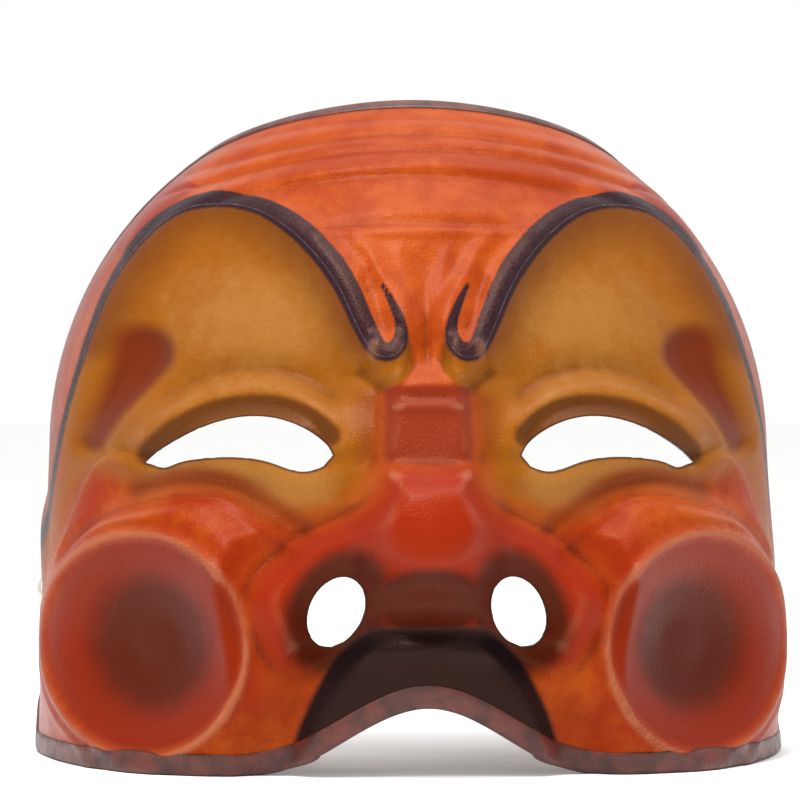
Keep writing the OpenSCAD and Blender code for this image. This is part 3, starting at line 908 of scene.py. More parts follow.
@dataclass(frozen=True)
class DyedLeather:
    """Hand-dyed, waxed leather with painted light and shade. It reads the areas stored on the face's mesh."""

    depth: float = 0.52
    forehead: Color = paint("CC5612")
    forehead_deep: Color = paint("B23C08")
    orbit: Color = paint("AC620C")
    orbit_pale: Color = paint("BC7C36")
    # Deeper brown: painted shade under the brow ridge, and a mottle in the lining.
    orbit_deep: Color = paint("7E3F06")
    orbit_red: Color = paint("943F12")
    temple: Color = paint("7A240C")
    # Painted shade in the crescent between the lower lid and the bag.
    crescent: Color = paint("903208")
    lid: Color = paint("6E3C12")
    lobe: Color = paint("9E2410")
    cheek: Color = paint("B03004")
    cheek_pale: Color = paint("C8560E")
    # The bowl's darker red and the hollow's dark brown: partly dye and partly painted shade.
    bowl: Color = paint("9A2602")
    hollow: Color = paint("642010")
    nose: Color = paint("AE2A06")
    bridge: Color = paint("9A3418")
    # Under the nose and round the nostrils: partly dye and partly painted shade.
    under_nose_dye_and_shade: Color = paint("5E1E0A")
    black: Color = paint("1E1619")
    band: Color = paint("3A2C33")
    band_edge: Color = paint("2A1522")
    # A pale painted highlight along the brow ridge's crest.
    crest_highlight: Color = paint("95838B")
    # Side walls: a red dye, lightened towards pink as a painted reflection of the pale surroundings.
    side: Color = paint("A04C3E")
    # Pale colour of ridges and of the cheeks' rings: partly wear and partly a painted highlight.
    worn_and_highlight: Color = paint("E09A72")
    inside: Color = paint("8A6544")
    cut: Color = paint("4A2210")
    # Darkening of creases: partly dye that gathers there and partly painted shade.
    crease: Color = (0.32, 0.2, 0.18)
    pore: Color = (0.45, 0.35, 0.3)
    sheen: tuple[float, float, float, float] = (1.0, 0.36, 0.17, 1.0)

    def build(self) -> bpy.types.Material:
        """Puts the dyes on one over the other with painted highlights and painted shade among them, then
        wears, darkens and waxes them.

        Returns:
            The material.
        """
        g = Graph("dyed leather")
        marks = Marks(g)
        color = self.ground(g, marks)
        color = self.cheeks_and_nose(g, marks, color)
        color = self.orbits(g, marks, color)
        color = self.shades(g, marks, color)
        color = self.black_paint(g, marks, color)
        color = self.wear_and_light(g, marks, color)
        raw = g.layer(self.inside, g.add(marks.mottle, marks.cloud), 0.7, 1.3, self.orbit_deep)
        lining = g.attribute("lining")
        color = g.mix(lining, color, raw)
        color = g.darker(color, (self.depth, self.depth, self.depth))
        color = g.layer(color, g.cells(0.55), 0.25, 0.6, g.darker(color, self.pore), 0.14)
        wax = g.add(g.step(marks.cloud, 0.3, 0.7, 0.0, 0.07), g.step(marks.mottle, 0.3, 0.7, 0.0, 0.05))
        roughness = g.add(wax, g.step(lining, 0.0, 1.0, 0.31, 0.8))
        pebble = g.bump(g.noise(0.9, 3, 0.6), 0.13)
        grain = g.bump(g.cells(0.5), 0.07, pebble)
        return g.finish(color, roughness, grain, Coat_Weight=0.04, Coat_Roughness=0.2,
                        Specular_IOR_Level=0.18, Specular_Tint=self.sheen)

    def ground(self, g: Graph, marks: Marks) -> Socket:
        """The forehead's orange, and the side walls' red dye, lightened as a painted reflection of the pale
        surroundings.

        Args:
            g: the material's graph.
            marks: the marks of the hand.

        Returns:
            The colour.
        """
        color = g.layer(self.forehead, marks.patches, 0.6, 0.95, self.forehead_deep)
        rear = g.add(g.attribute("rear"), g.times(marks.hand, 0.12))
        # Side walls: a red dye, lightened as a painted reflection of the pale surroundings.
        return g.layer(color, rear, 0.0, 1.0, self.side)

    def cheeks_and_nose(self, g: Graph, marks: Marks, color: Shade) -> Socket:
        """The reds of the cheeks, the nose and the bridge, a painted highlight on each cheek's ring, and the
        darker red and dark brown inside the rings, which are partly dye and partly painted shade.

        Args:
            g: the material's graph.
            marks: the marks of the hand.
            color: the colour so far.

        Returns:
            The colour with these dyes, the painted highlight and the painted shade over it.
        """
        low = g.add(g.attribute("low"), g.times(marks.hand, 1.5))
        blush = g.layer(self.cheek_pale, marks.patches, 0.5, 0.9, self.cheek)
        color = g.layer(color, low, -3.5, 3.5, blush)
        color = g.layer(color, g.add(g.attribute("nose"), marks.hand), -2.0, 4.0, self.nose)
        bridge = g.add(g.attribute("bridge"), g.times(marks.hand, 0.5))
        color = g.layer(color, bridge, -1.2, 1.2, self.bridge)
        bowl = g.attribute("bowl")
        # A painted highlight along each cheek's ring ridge.
        ring_highlight = g.times(g.step(bowl, 0.93, 1.0), g.step(bowl, 1.07, 1.0))
        color = g.mix(g.times(ring_highlight, 0.18), color, self.worn_and_highlight)
        # Inside each cheek's ring: a darker red, then a dark brown hollow, partly dye and partly painted
        # shade.
        color = g.layer(color, bowl, 1.0, 0.88, self.bowl)
        return g.layer(color, g.add(bowl, g.times(marks.hand, 0.06)), 0.76, 0.44, self.hollow)

    def orbits(self, g: Graph, marks: Marks, color: Shade) -> Socket:
        """The ochre of the orbits: paler in the middle and on the lid folds, where it is partly a painted
        highlight, with painted shade in a deeper brown under the brow, and redder beside the nose.

        Args:
            g: the material's graph.
            marks: the marks of the hand.
            color: the colour so far.

        Returns:
            The colour with the ochre over it.
        """
        soft = g.attribute("orbit_soft")
        middle = g.attribute("orbit_mid")
        # Paler ochre in the middle and on the lids; on the upper lid's fold it is partly a painted highlight.
        ochre = g.layer(self.orbit, g.add(marks.mottle, middle), 0.5, 1.35, self.orbit_pale)
        # Painted shade: a deeper brown at the orbit's top, under the brow ridge.
        edge = g.add(g.attribute("brow_shade"), g.times(marks.cloud, 8))
        ochre = g.layer(ochre, edge, 16.0, 3.0, self.orbit_deep)
        ochre = g.layer(ochre, middle, -0.1, -0.9, self.orbit_red, 0.8)
        orbit = g.add(g.attribute("orbit"), g.times(marks.hand, soft))
        return g.layer(color, orbit, g.times(soft, -2.5), g.times(soft, 3.5), ochre)

    def shades(self, g: Graph, marks: Marks, color: Shade) -> Socket:
        """Darker tones: dye in the temples' hollows and on the lobes, a dark strip along the groove above
        each eye slit, painted shade in the crescent between the lower lid and the bag, and under the nose a
        brown that is partly dye and partly painted shade.

        Args:
            g: the material's graph.
            marks: the marks of the hand.
            color: the colour so far.

        Returns:
            The colour with the shades over it.
        """
        temple = g.add(g.attribute("dimple"), g.times(marks.hand, 0.5))
        color = g.layer(color, temple, -1.4, 3.2, self.temple, 0.9)
        # Painted shade in the crescent between the lower lid and the bag.
        color = g.layer(color, g.add(g.attribute("shade"), marks.hand), -1.8, 2.2, self.crescent, 0.75)
        color = g.layer(color, g.add(g.attribute("strip"), marks.fine), -0.5, 1.2, self.lid, 0.95)
        color = g.layer(color, g.add(g.attribute("lobe"), marks.fine), -0.8, 1.0, self.lobe, 0.85)
        # Under the nose and round the nostrils: a brown that is partly dye and partly painted shade.
        under = g.add(g.attribute("under"), g.times(marks.hand, 0.8))
        return g.layer(color, under, -2.2, 2.6, self.under_nose_dye_and_shade)

    def black_paint(self, g: Graph, marks: Marks, color: Shade) -> Socket:
        """The black lip, and the brow's band with its brush streaks and a painted highlight along its crest.

        Args:
            g: the material's graph.
            marks: the marks of the hand.
            color: the colour so far.

        Returns:
            The colour with the paint over it.
        """
        lip = g.add(g.attribute("lip"), g.add(marks.fine, g.times(marks.hand, 0.5)))
        color = g.layer(color, lip, -1.0, 1.0, self.black)
        band = g.add(g.attribute("band"), marks.fine)
        streaks = g.layer(self.band_edge, marks.brush, 0.3, 0.75, self.band)
        streaks = g.layer(streaks, band, 1.2, -0.2, self.band_edge, 0.75)
        # A pale painted highlight along the brow ridge's crest.
        line = g.add(g.math("ABSOLUTE", g.attribute("band_line")), marks.fine)
        streaks = g.layer(streaks, line, 0.16, -0.1, self.crest_highlight, 0.6)
        return g.layer(color, band, -0.35, 0.35, streaks)

    def wear_and_light(self, g: Graph, marks: Marks, color: Shade) -> Socket:
        """Ridges made pale, partly as wear and partly as a painted highlight; creases made darker, partly as
        dye that gathers there and partly as painted shade; and burnished edges round the openings.

        Args:
            g: the material's graph.
            marks: the marks of the hand.
            color: the colour so far.

        Returns:
            The colour with wear, painted highlights on the ridges and painted shade in the creases.
        """
        high = g.add(g.attribute("high"), g.centred(marks.mottle, 0.5))
        # Ridges made pale: partly wear and partly a painted highlight.
        color = g.layer(color, high, 0.55, 1.8, self.worn_and_highlight, 0.32)
        # Creases made darker: partly dye that gathers there and partly painted shade.
        color = g.layer(color, high, -0.35, -1.4, g.darker(color, self.crease), 0.5)
        rim = g.add(g.attribute("opening"), g.times(marks.fine, 0.6))
        return g.layer(color, rim, 0.8, 0.1, self.cut, 0.85)


@dataclass(frozen=True)
class PlainLeather:
    """Dyed leather of one tone with grain, darker patches and a waxed sheen."""

    name: str
    tone: Color
    deep: Color
    roughness: float = 0.45

    def build(self) -> bpy.types.Material:
        """Returns: the material."""
        g = Graph(self.name)
        cloud = g.noise(6, 5, 0.6)
        color = g.layer(self.tone, cloud, 0.35, 0.68, self.deep)
        color = g.layer(color, g.cells(0.6), 0.2, 0.6, self.deep, 0.25)
        rough = g.step(cloud, 0.3, 0.7, self.roughness - 0.06, self.roughness + 0.1)
        grain = g.bump(g.cells(0.6), 0.06, g.bump(g.noise(2.0, 4, 0.6), 0.12))
        return g.finish(color, rough, grain, IOR=1.46)


@dataclass(frozen=True)
class WornMetal:
    """Plated metal with fine scratches and dull patches."""

    name: str
    tone: Color
    dull: Color
    roughness: float = 0.28

    def build(self) -> bpy.types.Material:
        """Returns: the material."""
        g = Graph(self.name)
        patch = g.noise(2.2, 5, 0.65)
        scratch = g.noise(0.5, 3, 0.6, stretch=(1, 9, 1))
        color = g.layer(self.tone, patch, 0.45, 0.75, self.dull)
        rough = g.add(g.step(patch, 0.35, 0.75, 0.0, 0.2), g.step(scratch, 0.3, 0.7, self.roughness, 0.4))
        return g.finish(color, rough, g.bump(scratch, 0.012), Metallic=1.0)


@dataclass(frozen=True)
class Cloth:
    """Thread, woven elastic or fabric-faced foam."""

    name: str
    tone: Color
    light: Color
    thread_mm: float

    def build(self) -> bpy.types.Material:
        """Returns: the material."""
        g = Graph(self.name)
        weave = g.noise(self.thread_mm, 3, 0.7)
        fuzz = g.noise(self.thread_mm * 6, 4, 0.6)
        color = g.layer(self.tone, weave, 0.3, 0.75, self.light)
        color = g.layer(color, fuzz, 0.5, 0.8, self.light, 0.35)
        bump = g.bump(weave, self.thread_mm * 0.25, g.bump(fuzz, 0.1))
        return g.finish(color, g.step(weave, 0.2, 0.8, 0.72, 0.92), bump, Sheen_Weight=0.25)


# ---------------------------------------------------------------- the leather face


class OpeningCutter:
    """Cuts a triangulated grid along the line where a clearance is zero."""

    def __init__(self, clearance: np.ndarray, snap: float) -> None:
        """Sets the line.

        Args:
            clearance: a number per point of the grid.
            snap: the clearance below which a point counts as on the line.
        """
        self.clear = np.where(np.abs(clearance) < snap, 0.0, clearance)
        self.parents: list[tuple[int, int, float]] = []
        self.lookup: dict[tuple[int, int], int] = {}
        self.count = len(clearance)

    def crossing(self, a: int, b: int) -> int:
        """Finds or makes the point where an edge meets the line.

        Args:
            a, b: the numbers of the edge's ends.

        Returns:
            The point's number.
        """
        key = (min(a, b), max(a, b))
        if key not in self.lookup:
            fa, fb = self.clear[key[0]], self.clear[key[1]]
            self.lookup[key] = self.count + len(self.parents)
            self.parents.append((*key, float(fa / (fa - fb))))
        return self.lookup[key]

    def with_cuts(self, values: np.ndarray) -> np.ndarray:
        """Adds the values of the new points, which lie between their edges' ends.

        Args:
            values: a number or a vector per point of the grid.

        Returns:
            The values of all points, the new ones last.
        """
        first, second = (np.array([p[i] for p in self.parents]) for i in (0, 1))
        share = np.array([p[2] for p in self.parents]).reshape((-1,) + (1,) * (values.ndim - 1))
        return np.concatenate([values, values[first] * (1 - share) + values[second] * share])

    def cut(self, quads: np.ndarray) -> tuple[np.ndarray, list[list[int]]]:
        """Cuts the quads and drops what lies where the clearance is negative.

        Args:
            quads: the grid's quads, as corner numbers.

        Returns:
            The whole quads that stay, and the cut faces.
        """
        f = self.clear[quads]
        whole = quads[(f >= 0).all(1) & (f > 0).any(1)]
        mixed = quads[(f < 0).any(1) & (f > 0).any(1)]
        faces = []
        for quad in mixed:
            for tri in ((quad[0], quad[1], quad[2]), (quad[0], quad[2], quad[3])):
                kept = []
                for a, b in zip(tri, tri[1:] + tri[:1]):
                    fa, fb = self.clear[a], self.clear[b]
                    if fa >= 0:
                        kept.append(int(a))
                    if (fa > 0 > fb) or (fa < 0 < fb):
                        kept.append(self.crossing(int(a), int(b)))
                if len(kept) >= 3 and any(k < self.count and self.clear[k] > 0 for k in kept):
                    faces.append(kept)
        return whole, faces


@dataclass
class LeatherFace:
    """The moulded leather: outer side, lining side, burnished cuts and the edge that goes into the hem."""

    surface: FaceSurface
    openings: Openings
    leather: float = 2.4
    columns: int = 271
    rows: int = 171
    edge_round: float = 0.35
    snap: float = 0.12
    cut_reach: float = 6.0
    least_facing: float = 0.35

    def parameters(self) -> tuple[np.ndarray, np.ndarray]:
        """A grid that is finer over the front of the face than on its side walls.

        Returns:
            q and v of every place, by row and column.
        """
        t = np.linspace(-1, 1, self.columns)
        q = t - 0.05 * np.sin(np.pi * t)
        v = np.linspace(0, 1, self.rows)
        return np.meshgrid(q, v)

    @staticmethod
    def sharpness(height: np.ndarray, reach: int) -> np.ndarray:
        """How far each place stands above the mean of its neighbourhood.

        Args:
            height: heights by row and column.
            reach: the neighbourhood's reach, in rows and columns.

        Returns:
            The difference from the mean, in mm.
        """
        wide = height.copy()
        for axis in (0, 1):
            padded = np.concatenate([np.repeat(wide.take([0], axis), reach, axis), wide,
                                     np.repeat(wide.take([-1], axis), reach, axis)], axis)
            sums = np.cumsum(np.concatenate([np.zeros_like(padded.take([0], axis)), padded], axis), axis)
            n = wide.shape[axis]
            span = 2 * reach + 1
            wide = (sums.take(range(span, span + n), axis) - sums.take(range(n), axis)) / span
        return height - wide

    def dye_and_light(self, base: np.ndarray, q: np.ndarray) -> dict[str, np.ndarray]:
        """Works out the values that place the dyes, the painted highlights and the painted shade.

        Args:
            base: the form's points.
            q: their parameter round the face.

        Returns:
            Values by name. Most are depths inside an area of colour, in mm, and negative outside it.
            orbit_soft is the width of the orbit's soft edge, orbit_mid its tone, bowl is 1 on the cheek's
            ring and less inside it, high is a height over the neighbourhood, which places painted highlights
            and painted shade, and rear goes from 0 to 1 at the rear edge.
        """
        x, z = np.abs(base[..., 0]), base[..., 2]
        out = self.surface.form.outward(base)
        relief = self.surface.relief
        d, share = line_distance(x, z, BROW)
        half = np.interp(share, BAND_SHARE, BAND_HALF)
        orbit = depth_inside(x, z, ORBIT)
        dimple, along = line_distance(x, z, DIMPLE)
        below = ease((84 - z) / 10) + ease((16 - x) / 6) * ease((94 - z) / 6)
        height = relief.outward(x, z) + relief.forward(x, z)
        r = relief.nostril_radius(x, z)
        under = np.maximum(5.5 - 7.4 * np.maximum(r - 1.1, 0), 13 * (1 - np.hypot(x / 15, (z - 43) / 8.5)))
        return {
            "band": half - d,
            "band_line": half * 0.55 - d * np.where(orbit > 0, 1, -1),
            "orbit": orbit,
            "orbit_soft": 0.25 + 1.6 * np.clip(below, 0, 1),
            # Where the painted shade under the brow ridge goes.
            "brow_shade": orbit + 15 * ease((106 - z) / 14),
            "orbit_mid": self.orbit_tone(x, z),
            "dimple": 7.8 - 4.4 * along - dimple,
            "shade": 2.6 - line_distance(x, z, BAG_SHADE)[0],
            "strip": 3.0 - line_distance(x, z, LID_STRIP)[0],
            "lobe": self.lobe(x, z),
            "low": np.maximum(depth_inside(x, z, POUCH), depth_inside(x, z, CORNER) - 1.5),
            "nose": depth_inside(x, z, NOSE),
            "bridge": np.minimum(10.6 - x, np.minimum(z - 76, 95 - z)),
            "bowl": relief.cheek_radius(x, z),
            "under": under,
            "lip": depth_inside(x, z, LIP_AREA),
            "high": self.sharpness(height, 3) * ease(-3 * out[..., 1]),
            "rear": ease(1.2 + 2.4 * out[..., 1]) * ease((np.abs(q) - 0.5) / 0.42),
        }

    @staticmethod
    def orbit_tone(x: np.ndarray, z: np.ndarray) -> np.ndarray:
        """How pale the ochre is.

        Args:
            x, z: the places, as in Relief.

        Returns:
            Above 0 in the orbit's middle and on the lids, below 0 beside the nose. On the upper lid's fold
            the paleness is partly a painted highlight.
        """
        middle = 0.75 * bell(x - 42, 22) * bell(z - 112, 15)
        # Paler on the fold above each eye: partly tone and partly a painted highlight.
        fold = 0.3 * bell(line_distance(x, z, LID_FOLD)[0], 3)
        lower = 1.5 * bell(np.hypot((x - 44) / 21, (z - 70) / 6.5), 1)
        return middle + fold + lower - 0.9 * bell(x - 12, 7) * ease((98 - z) / 8)

    @staticmethod
    def lobe(x: np.ndarray, z: np.ndarray) -> np.ndarray:
        """Depth inside the lens-shaped lobe beyond the brow.

        Args:
            x, z: the places, as in Relief.

        Returns:
            The depth, in mm.
        """
        d, share = line_distance(x, z, LOBE)
        return 4.2 * np.sqrt(np.clip(4 * share * (1 - share), 0, 1)) - d

    def build(self) -> bpy.types.Object:
        """Cuts the openings into the outer surface, gives it its thickness and closes every free edge.

        Away from the openings the thickness goes square to the surface. Within cut_reach of one it turns
        straight backwards, so that the cut goes straight through.

        Returns:
            The face as one closed mesh.
        """
        q, v = self.parameters()
        outer, base = self.surface.outer(q, v)
        normal = self.surface.normals(outer)
        clear = self.openings.clearance(outer[..., 0], outer[..., 2])
        near = ease(1 - clear / self.cut_reach)[..., None]
        straight = np.zeros_like(outer)
        straight[..., 1] = 1 / np.maximum(-normal[..., 1], self.least_facing)
        inward = (1 - near) * -normal + near * straight
        cutter = OpeningCutter((clear - self.edge_round).reshape(-1), self.snap)
        whole, faces = cutter.cut(grid_quads(*outer.shape[:2]))
        dyes = {**self.dye_and_light(base, q), "opening": clear}
        dyes = {k: cutter.with_cuts(a.reshape(-1)) for k, a in dyes.items()}
        outer, inward, normal = (cutter.with_cuts(a.reshape(-1, 3)) for a in (outer, inward, normal))
        total = len(outer)
        backs = [[i + total for i in f[::-1]] for f in faces]
        sides: list = [whole, *faces, whole[:, ::-1] + total, *backs]
        points, extra = [outer, outer + self.leather * inward], {k: [a, a] for k, a in dyes.items()}
        start = 2 * total
        for edge in self.open_edges(whole, faces):
            rim = edge[:, 0]
            if dyes["opening"][rim].max() > self.cut_reach:
                sides.append(np.stack([edge[:, 1], rim, rim + total, edge[:, 1] + total], -1))
                continue
            rings = self.rounded_cut(outer[rim], inward[rim], unit(normal[rim]))
            count = len(rim)
            numbers = start + np.arange(len(rings) * count).reshape(len(rings), count)
            numbers = np.vstack([rim, numbers, rim + total])
            for upper, lower in zip(numbers[:-1], numbers[1:]):
                sides.append(np.stack([np.roll(upper, -1), upper, lower, np.roll(lower, -1)], -1))
            points.append(rings.reshape(-1, 3))
            start += len(rings) * count
            for k, parts in extra.items():
                value = np.zeros(count) if k == "opening" else dyes[k][rim]
                parts.append(np.tile(value, len(rings)))
        attributes = {k: np.concatenate(a) for k, a in extra.items()}
        attributes["lining"] = np.zeros(start)
        attributes["lining"][total : 2 * total] = 1.0
        return self.compact(np.vstack(points), sides, attributes)

    @staticmethod
    def open_edges(whole: np.ndarray, faces: list[list[int]]) -> list[np.ndarray]:
        """Joins the surface's free edges into loops.

        Args:
            whole: its quads.
            faces: its cut faces.

        Returns:
            Loops of edges as pairs of points, which run the way the faces do.
        """
        pairs = np.vstack([np.stack([whole[:, i], whole[:, (i + 1) % 4]], -1) for i in range(4)]
                          + [np.array([(f[i], f[(i + 1) % len(f)]) for f in faces for i in range(len(f))])])
        keys = set(map(tuple, pairs.tolist()))
        follow = {a: b for a, b in keys if (b, a) not in keys}
        loops = []
        while follow:
            first, at = next(iter(follow.items()))
            loop = [(first, at)]
            del follow[first]
            while at in follow:
                to = follow.pop(at)
                loop.append((at, to))
                at = to
            loops.append(np.array(loop))
        return loops

    def rounded_cut(self, p: np.ndarray, inward: np.ndarray, normal: np.ndarray) -> np.ndarray:
        """Rings across the cut edge of an opening, rounded at both corners.

        A quarter turn leads from the outer side into the cut, and another one out of it on the lining's
        side. At angle a the ring has moved edge_round * sin(a) into the opening and
        edge_round * (1 - cos(a)) down from the surface.

        Args:
            p: the edge's points on the outer side.
            inward: the leather's way through at each point, per mm of thickness.
            normal: outward directions.

        Returns:
            Points indexed by ring, then by place along the edge.
        """
        step = 0.05
        turns = np.radians([35, 65, 90])
        clear = self.openings.clearance
        gx = clear(p[:, 0] + step, p[:, 2]) - clear(p[:, 0] - step, p[:, 2])
        gz = clear(p[:, 0], p[:, 2] + step) - clear(p[:, 0], p[:, 2] - step)
        into = np.stack([-gx, np.zeros(len(p)), -gz], -1)
        for _ in range(3):
            into = unit(np.roll(into, 1, 0) + into + np.roll(into, -1, 0))
        across = normal[:, 0] * into[:, 0] + normal[:, 2] * into[:, 2]
        into[:, 1] = -across / np.minimum(normal[:, 1], -0.3)
        near = self.edge_round * (1 - np.cos(turns))
        depth = np.concatenate([near, self.leather - near[::-1]])[:, None, None]
        reach = self.edge_round * np.sin(np.concatenate([turns, turns[::-1]]))[:, None, None]
        return p + reach * into + depth * inward

    @staticmethod
    def compact(points: np.ndarray, sides: list, attributes: dict[str, np.ndarray]) -> bpy.types.Object:
        """Drops the points that no face uses, and adds the mesh.

        Args:
            points: all points.
            sides: the faces, as lists or arrays of corner numbers.
            attributes: a number per point for each name.

        Returns:
            The object.
        """
        used = np.zeros(len(points), bool)
        for part in sides:
            used[np.asarray(part).reshape(-1)] = True
        number = np.cumsum(used) - 1
        faces = [number[p] if isinstance(p, np.ndarray) else number[np.array(p)].tolist() for p in sides]
        return add_mesh("face", points[used], faces, {k: v[used] for k, v in attributes.items()})


# ---------------------------------------------------------------- the hem


@dataclass
class TurnedEdge:
    """The leather's edge, turned over a wire all round the mask."""

    face: LeatherFace
    width: float = 4.0
    depth: float = 3.2
    corner: float = 1.3
    lap: float = 2.6
    proud: float = 0.25
    wire_diameter: float = 1.6
    wire_start: float = 0.15
    columns: int = 56
    rows: int = 40
    finer: int = 5

    def walk(self) -> tuple[np.ndarray, np.ndarray]:
        """Goes all round the edge, from the lower left rear corner.

        Returns:
            q and v of the places.
        """
        n, m = self.rows * self.finer, self.columns * self.finer
        q = np.linspace(-1, 1, m + 1)
        v = np.linspace(0, 1, n + 1)
        return (np.concatenate([q[:-1], np.ones(n), q[:0:-1], -np.ones(n)]),
                np.concatenate([np.zeros(m), v[:-1], np.ones(m), v[:0:-1]]))

    def frames(self) -> dict[str, np.ndarray]:
        """Directions at the places of the edge.

        The way inwards leads to places that lie the lap's width inside the leather. At a corner both
        edges' ways are added, so that the corners are square.

        Returns:
            Points p, outward directions n, directions away from the leather, the places' q and v, and
            q_in and v_in of the places inwards.
        """
        surface = self.face.surface
        q, v = self.walk()
        p, n, dq, dv = surface.frame(q, v)
        low, high, rear = v == 0, v == 1, np.abs(q) == 1
        n[low, 2] = 0
        n = unit(n)
        away = np.where(low[:, None], np.array([0, 0, -1.0]), 0) + np.where(high[:, None], unit(dv), 0)
        away = away + np.where(rear[:, None], np.sign(q)[:, None] * unit(dq), 0)
        away -= np.sum(away * n, -1, keepdims=True) * n
        side = self.lap / np.linalg.norm(dq, axis=-1)
        rise = self.lap / np.linalg.norm(dv, axis=-1)
        q_in, v_in = np.clip(q, -1 + side, 1 - side), np.clip(v, rise, 1 - rise)
        return {"p": p, "n": n, "away": away, "q": q, "v": v, "q_in": q_in, "v_in": v_in}

    def hem(self) -> bpy.types.Object:
        """Builds the hem: it laps over both sides of the leather and its free side is rounded.

        Returns:
            The object.
        """
        f = self.frames()
        surface, leather = self.face.surface, self.face.leather
        middle = f["p"] - leather / 2 * f["n"]
        turn = np.linspace(0, np.pi / 2, 6)
        across = self.width / 2 - self.corner + self.corner * np.cos(turn)
        down = self.depth - self.corner + self.corner * np.sin(turn)
        across = np.concatenate([across, -across[::-1]])[None, :, None]
        down = np.concatenate([down, down[::-1]])[None, :, None]
        edge = middle[:, None] + across * f["n"][:, None] + down * f["away"][:, None]
        outside, inside = [], []
        for share, rise in ((1.0, -0.3), (1.0, self.proud), (0.96, self.proud + 0.12), (0.5, 0.6)):
            q = f["q"] + share * (f["q_in"] - f["q"])
            v = f["v"] + share * (f["v_in"] - f["v"])
            p, n, _, _ = surface.frame(q, v)
            outside.append(p + rise * n)
            inside.append(p - (leather + rise) * n)
        rings = np.concatenate([np.stack(outside, 1), edge, np.stack(inside[::-1], 1)], 1)
        rings[..., 2] = np.maximum(rings[..., 2], 0.0)
        return swept("hem", rings, closed=True)

    def wire(self) -> bpy.types.Object:
        """Builds the round wire inside the hem.

        Returns:
            The object.
        """
        f = self.frames()
        down = self.wire_start + self.wire_diameter / 2
        centre = f["p"] - self.face.leather / 2 * f["n"] + down * f["away"]
        angle = np.linspace(0, 2 * np.pi, 13)[:-1]
        across = np.cos(angle)[None, :, None] * f["n"][:, None]
        away = np.sin(angle)[None, :, None] * f["away"][:, None]
        return swept("wire", centre[:, None] + self.wire_diameter / 2 * (across + away), closed=True)


# ---------------------------------------------------------------- pad, strap and stitches


@dataclass
class BrowPad:
    """A soft pad glued inside the forehead."""

    face: LeatherFace
    half_q: float = 0.357
    low_v: float = 0.625
    high_v: float = 0.775
    thickness: float = 8.0
    least: float = 0.3
    glue: float = 0.02

    def build(self) -> bpy.types.Object:
        """Builds the pad. Its sides fall off as (1 - |u|^8)^0.35 and (1 - |w|^5)^0.4, and two seams cross it.

        Returns:
            The object.
        """
        n, m = 41, 121
        u, w = np.meshgrid(np.linspace(-1, 1, m), np.linspace(-1, 1, n))
        q = self.half_q * u * np.sqrt(1 - 0.10 * w**4)
        v = (self.low_v + self.high_v) / 2 + (self.high_v - self.low_v) / 2 * w * np.sqrt(1 - 0.35 * u**6)
        outer, _ = self.face.surface.outer(q, v)
        normal = self.face.surface.normals(outer)
        normal[0] = normal[1]
        full = self.thickness * (1 - 0.42 * u**2)
        puff = np.clip(1 - np.abs(u) ** 8, 0, 1) ** 0.35 * np.clip(1 - np.abs(w) ** 5, 0, 1) ** 0.4
        quilt = 1 - 0.07 * (bell(u - 0.33, 0.02) + bell(u + 0.33, 0.02))
        front = outer - (self.face.leather + self.glue) * normal
        deep = self.face.leather + self.least + (full - self.least) * puff * quilt
        back = outer - deep[..., None] * normal
        quads = grid_quads(n, m)
        count = n * m
        rim = [(i, i + 1) for i in range(m - 1)]
        rim += [(j * m + m - 1, (j + 1) * m + m - 1) for j in range(n - 1)]
        rim += [((n - 1) * m + i, (n - 1) * m + i - 1) for i in range(m - 1, 0, -1)]
        rim += [(j * m, (j - 1) * m) for j in range(n - 1, 0, -1)]
        e = np.array(rim)
        walls = np.stack([e[:, 1], e[:, 0], e[:, 0] + count, e[:, 1] + count], -1)
        points = np.vstack([front.reshape(-1, 3), back.reshape(-1, 3)])
        return add_mesh("padding", points, [quads, quads[:, ::-1] + count, walls])


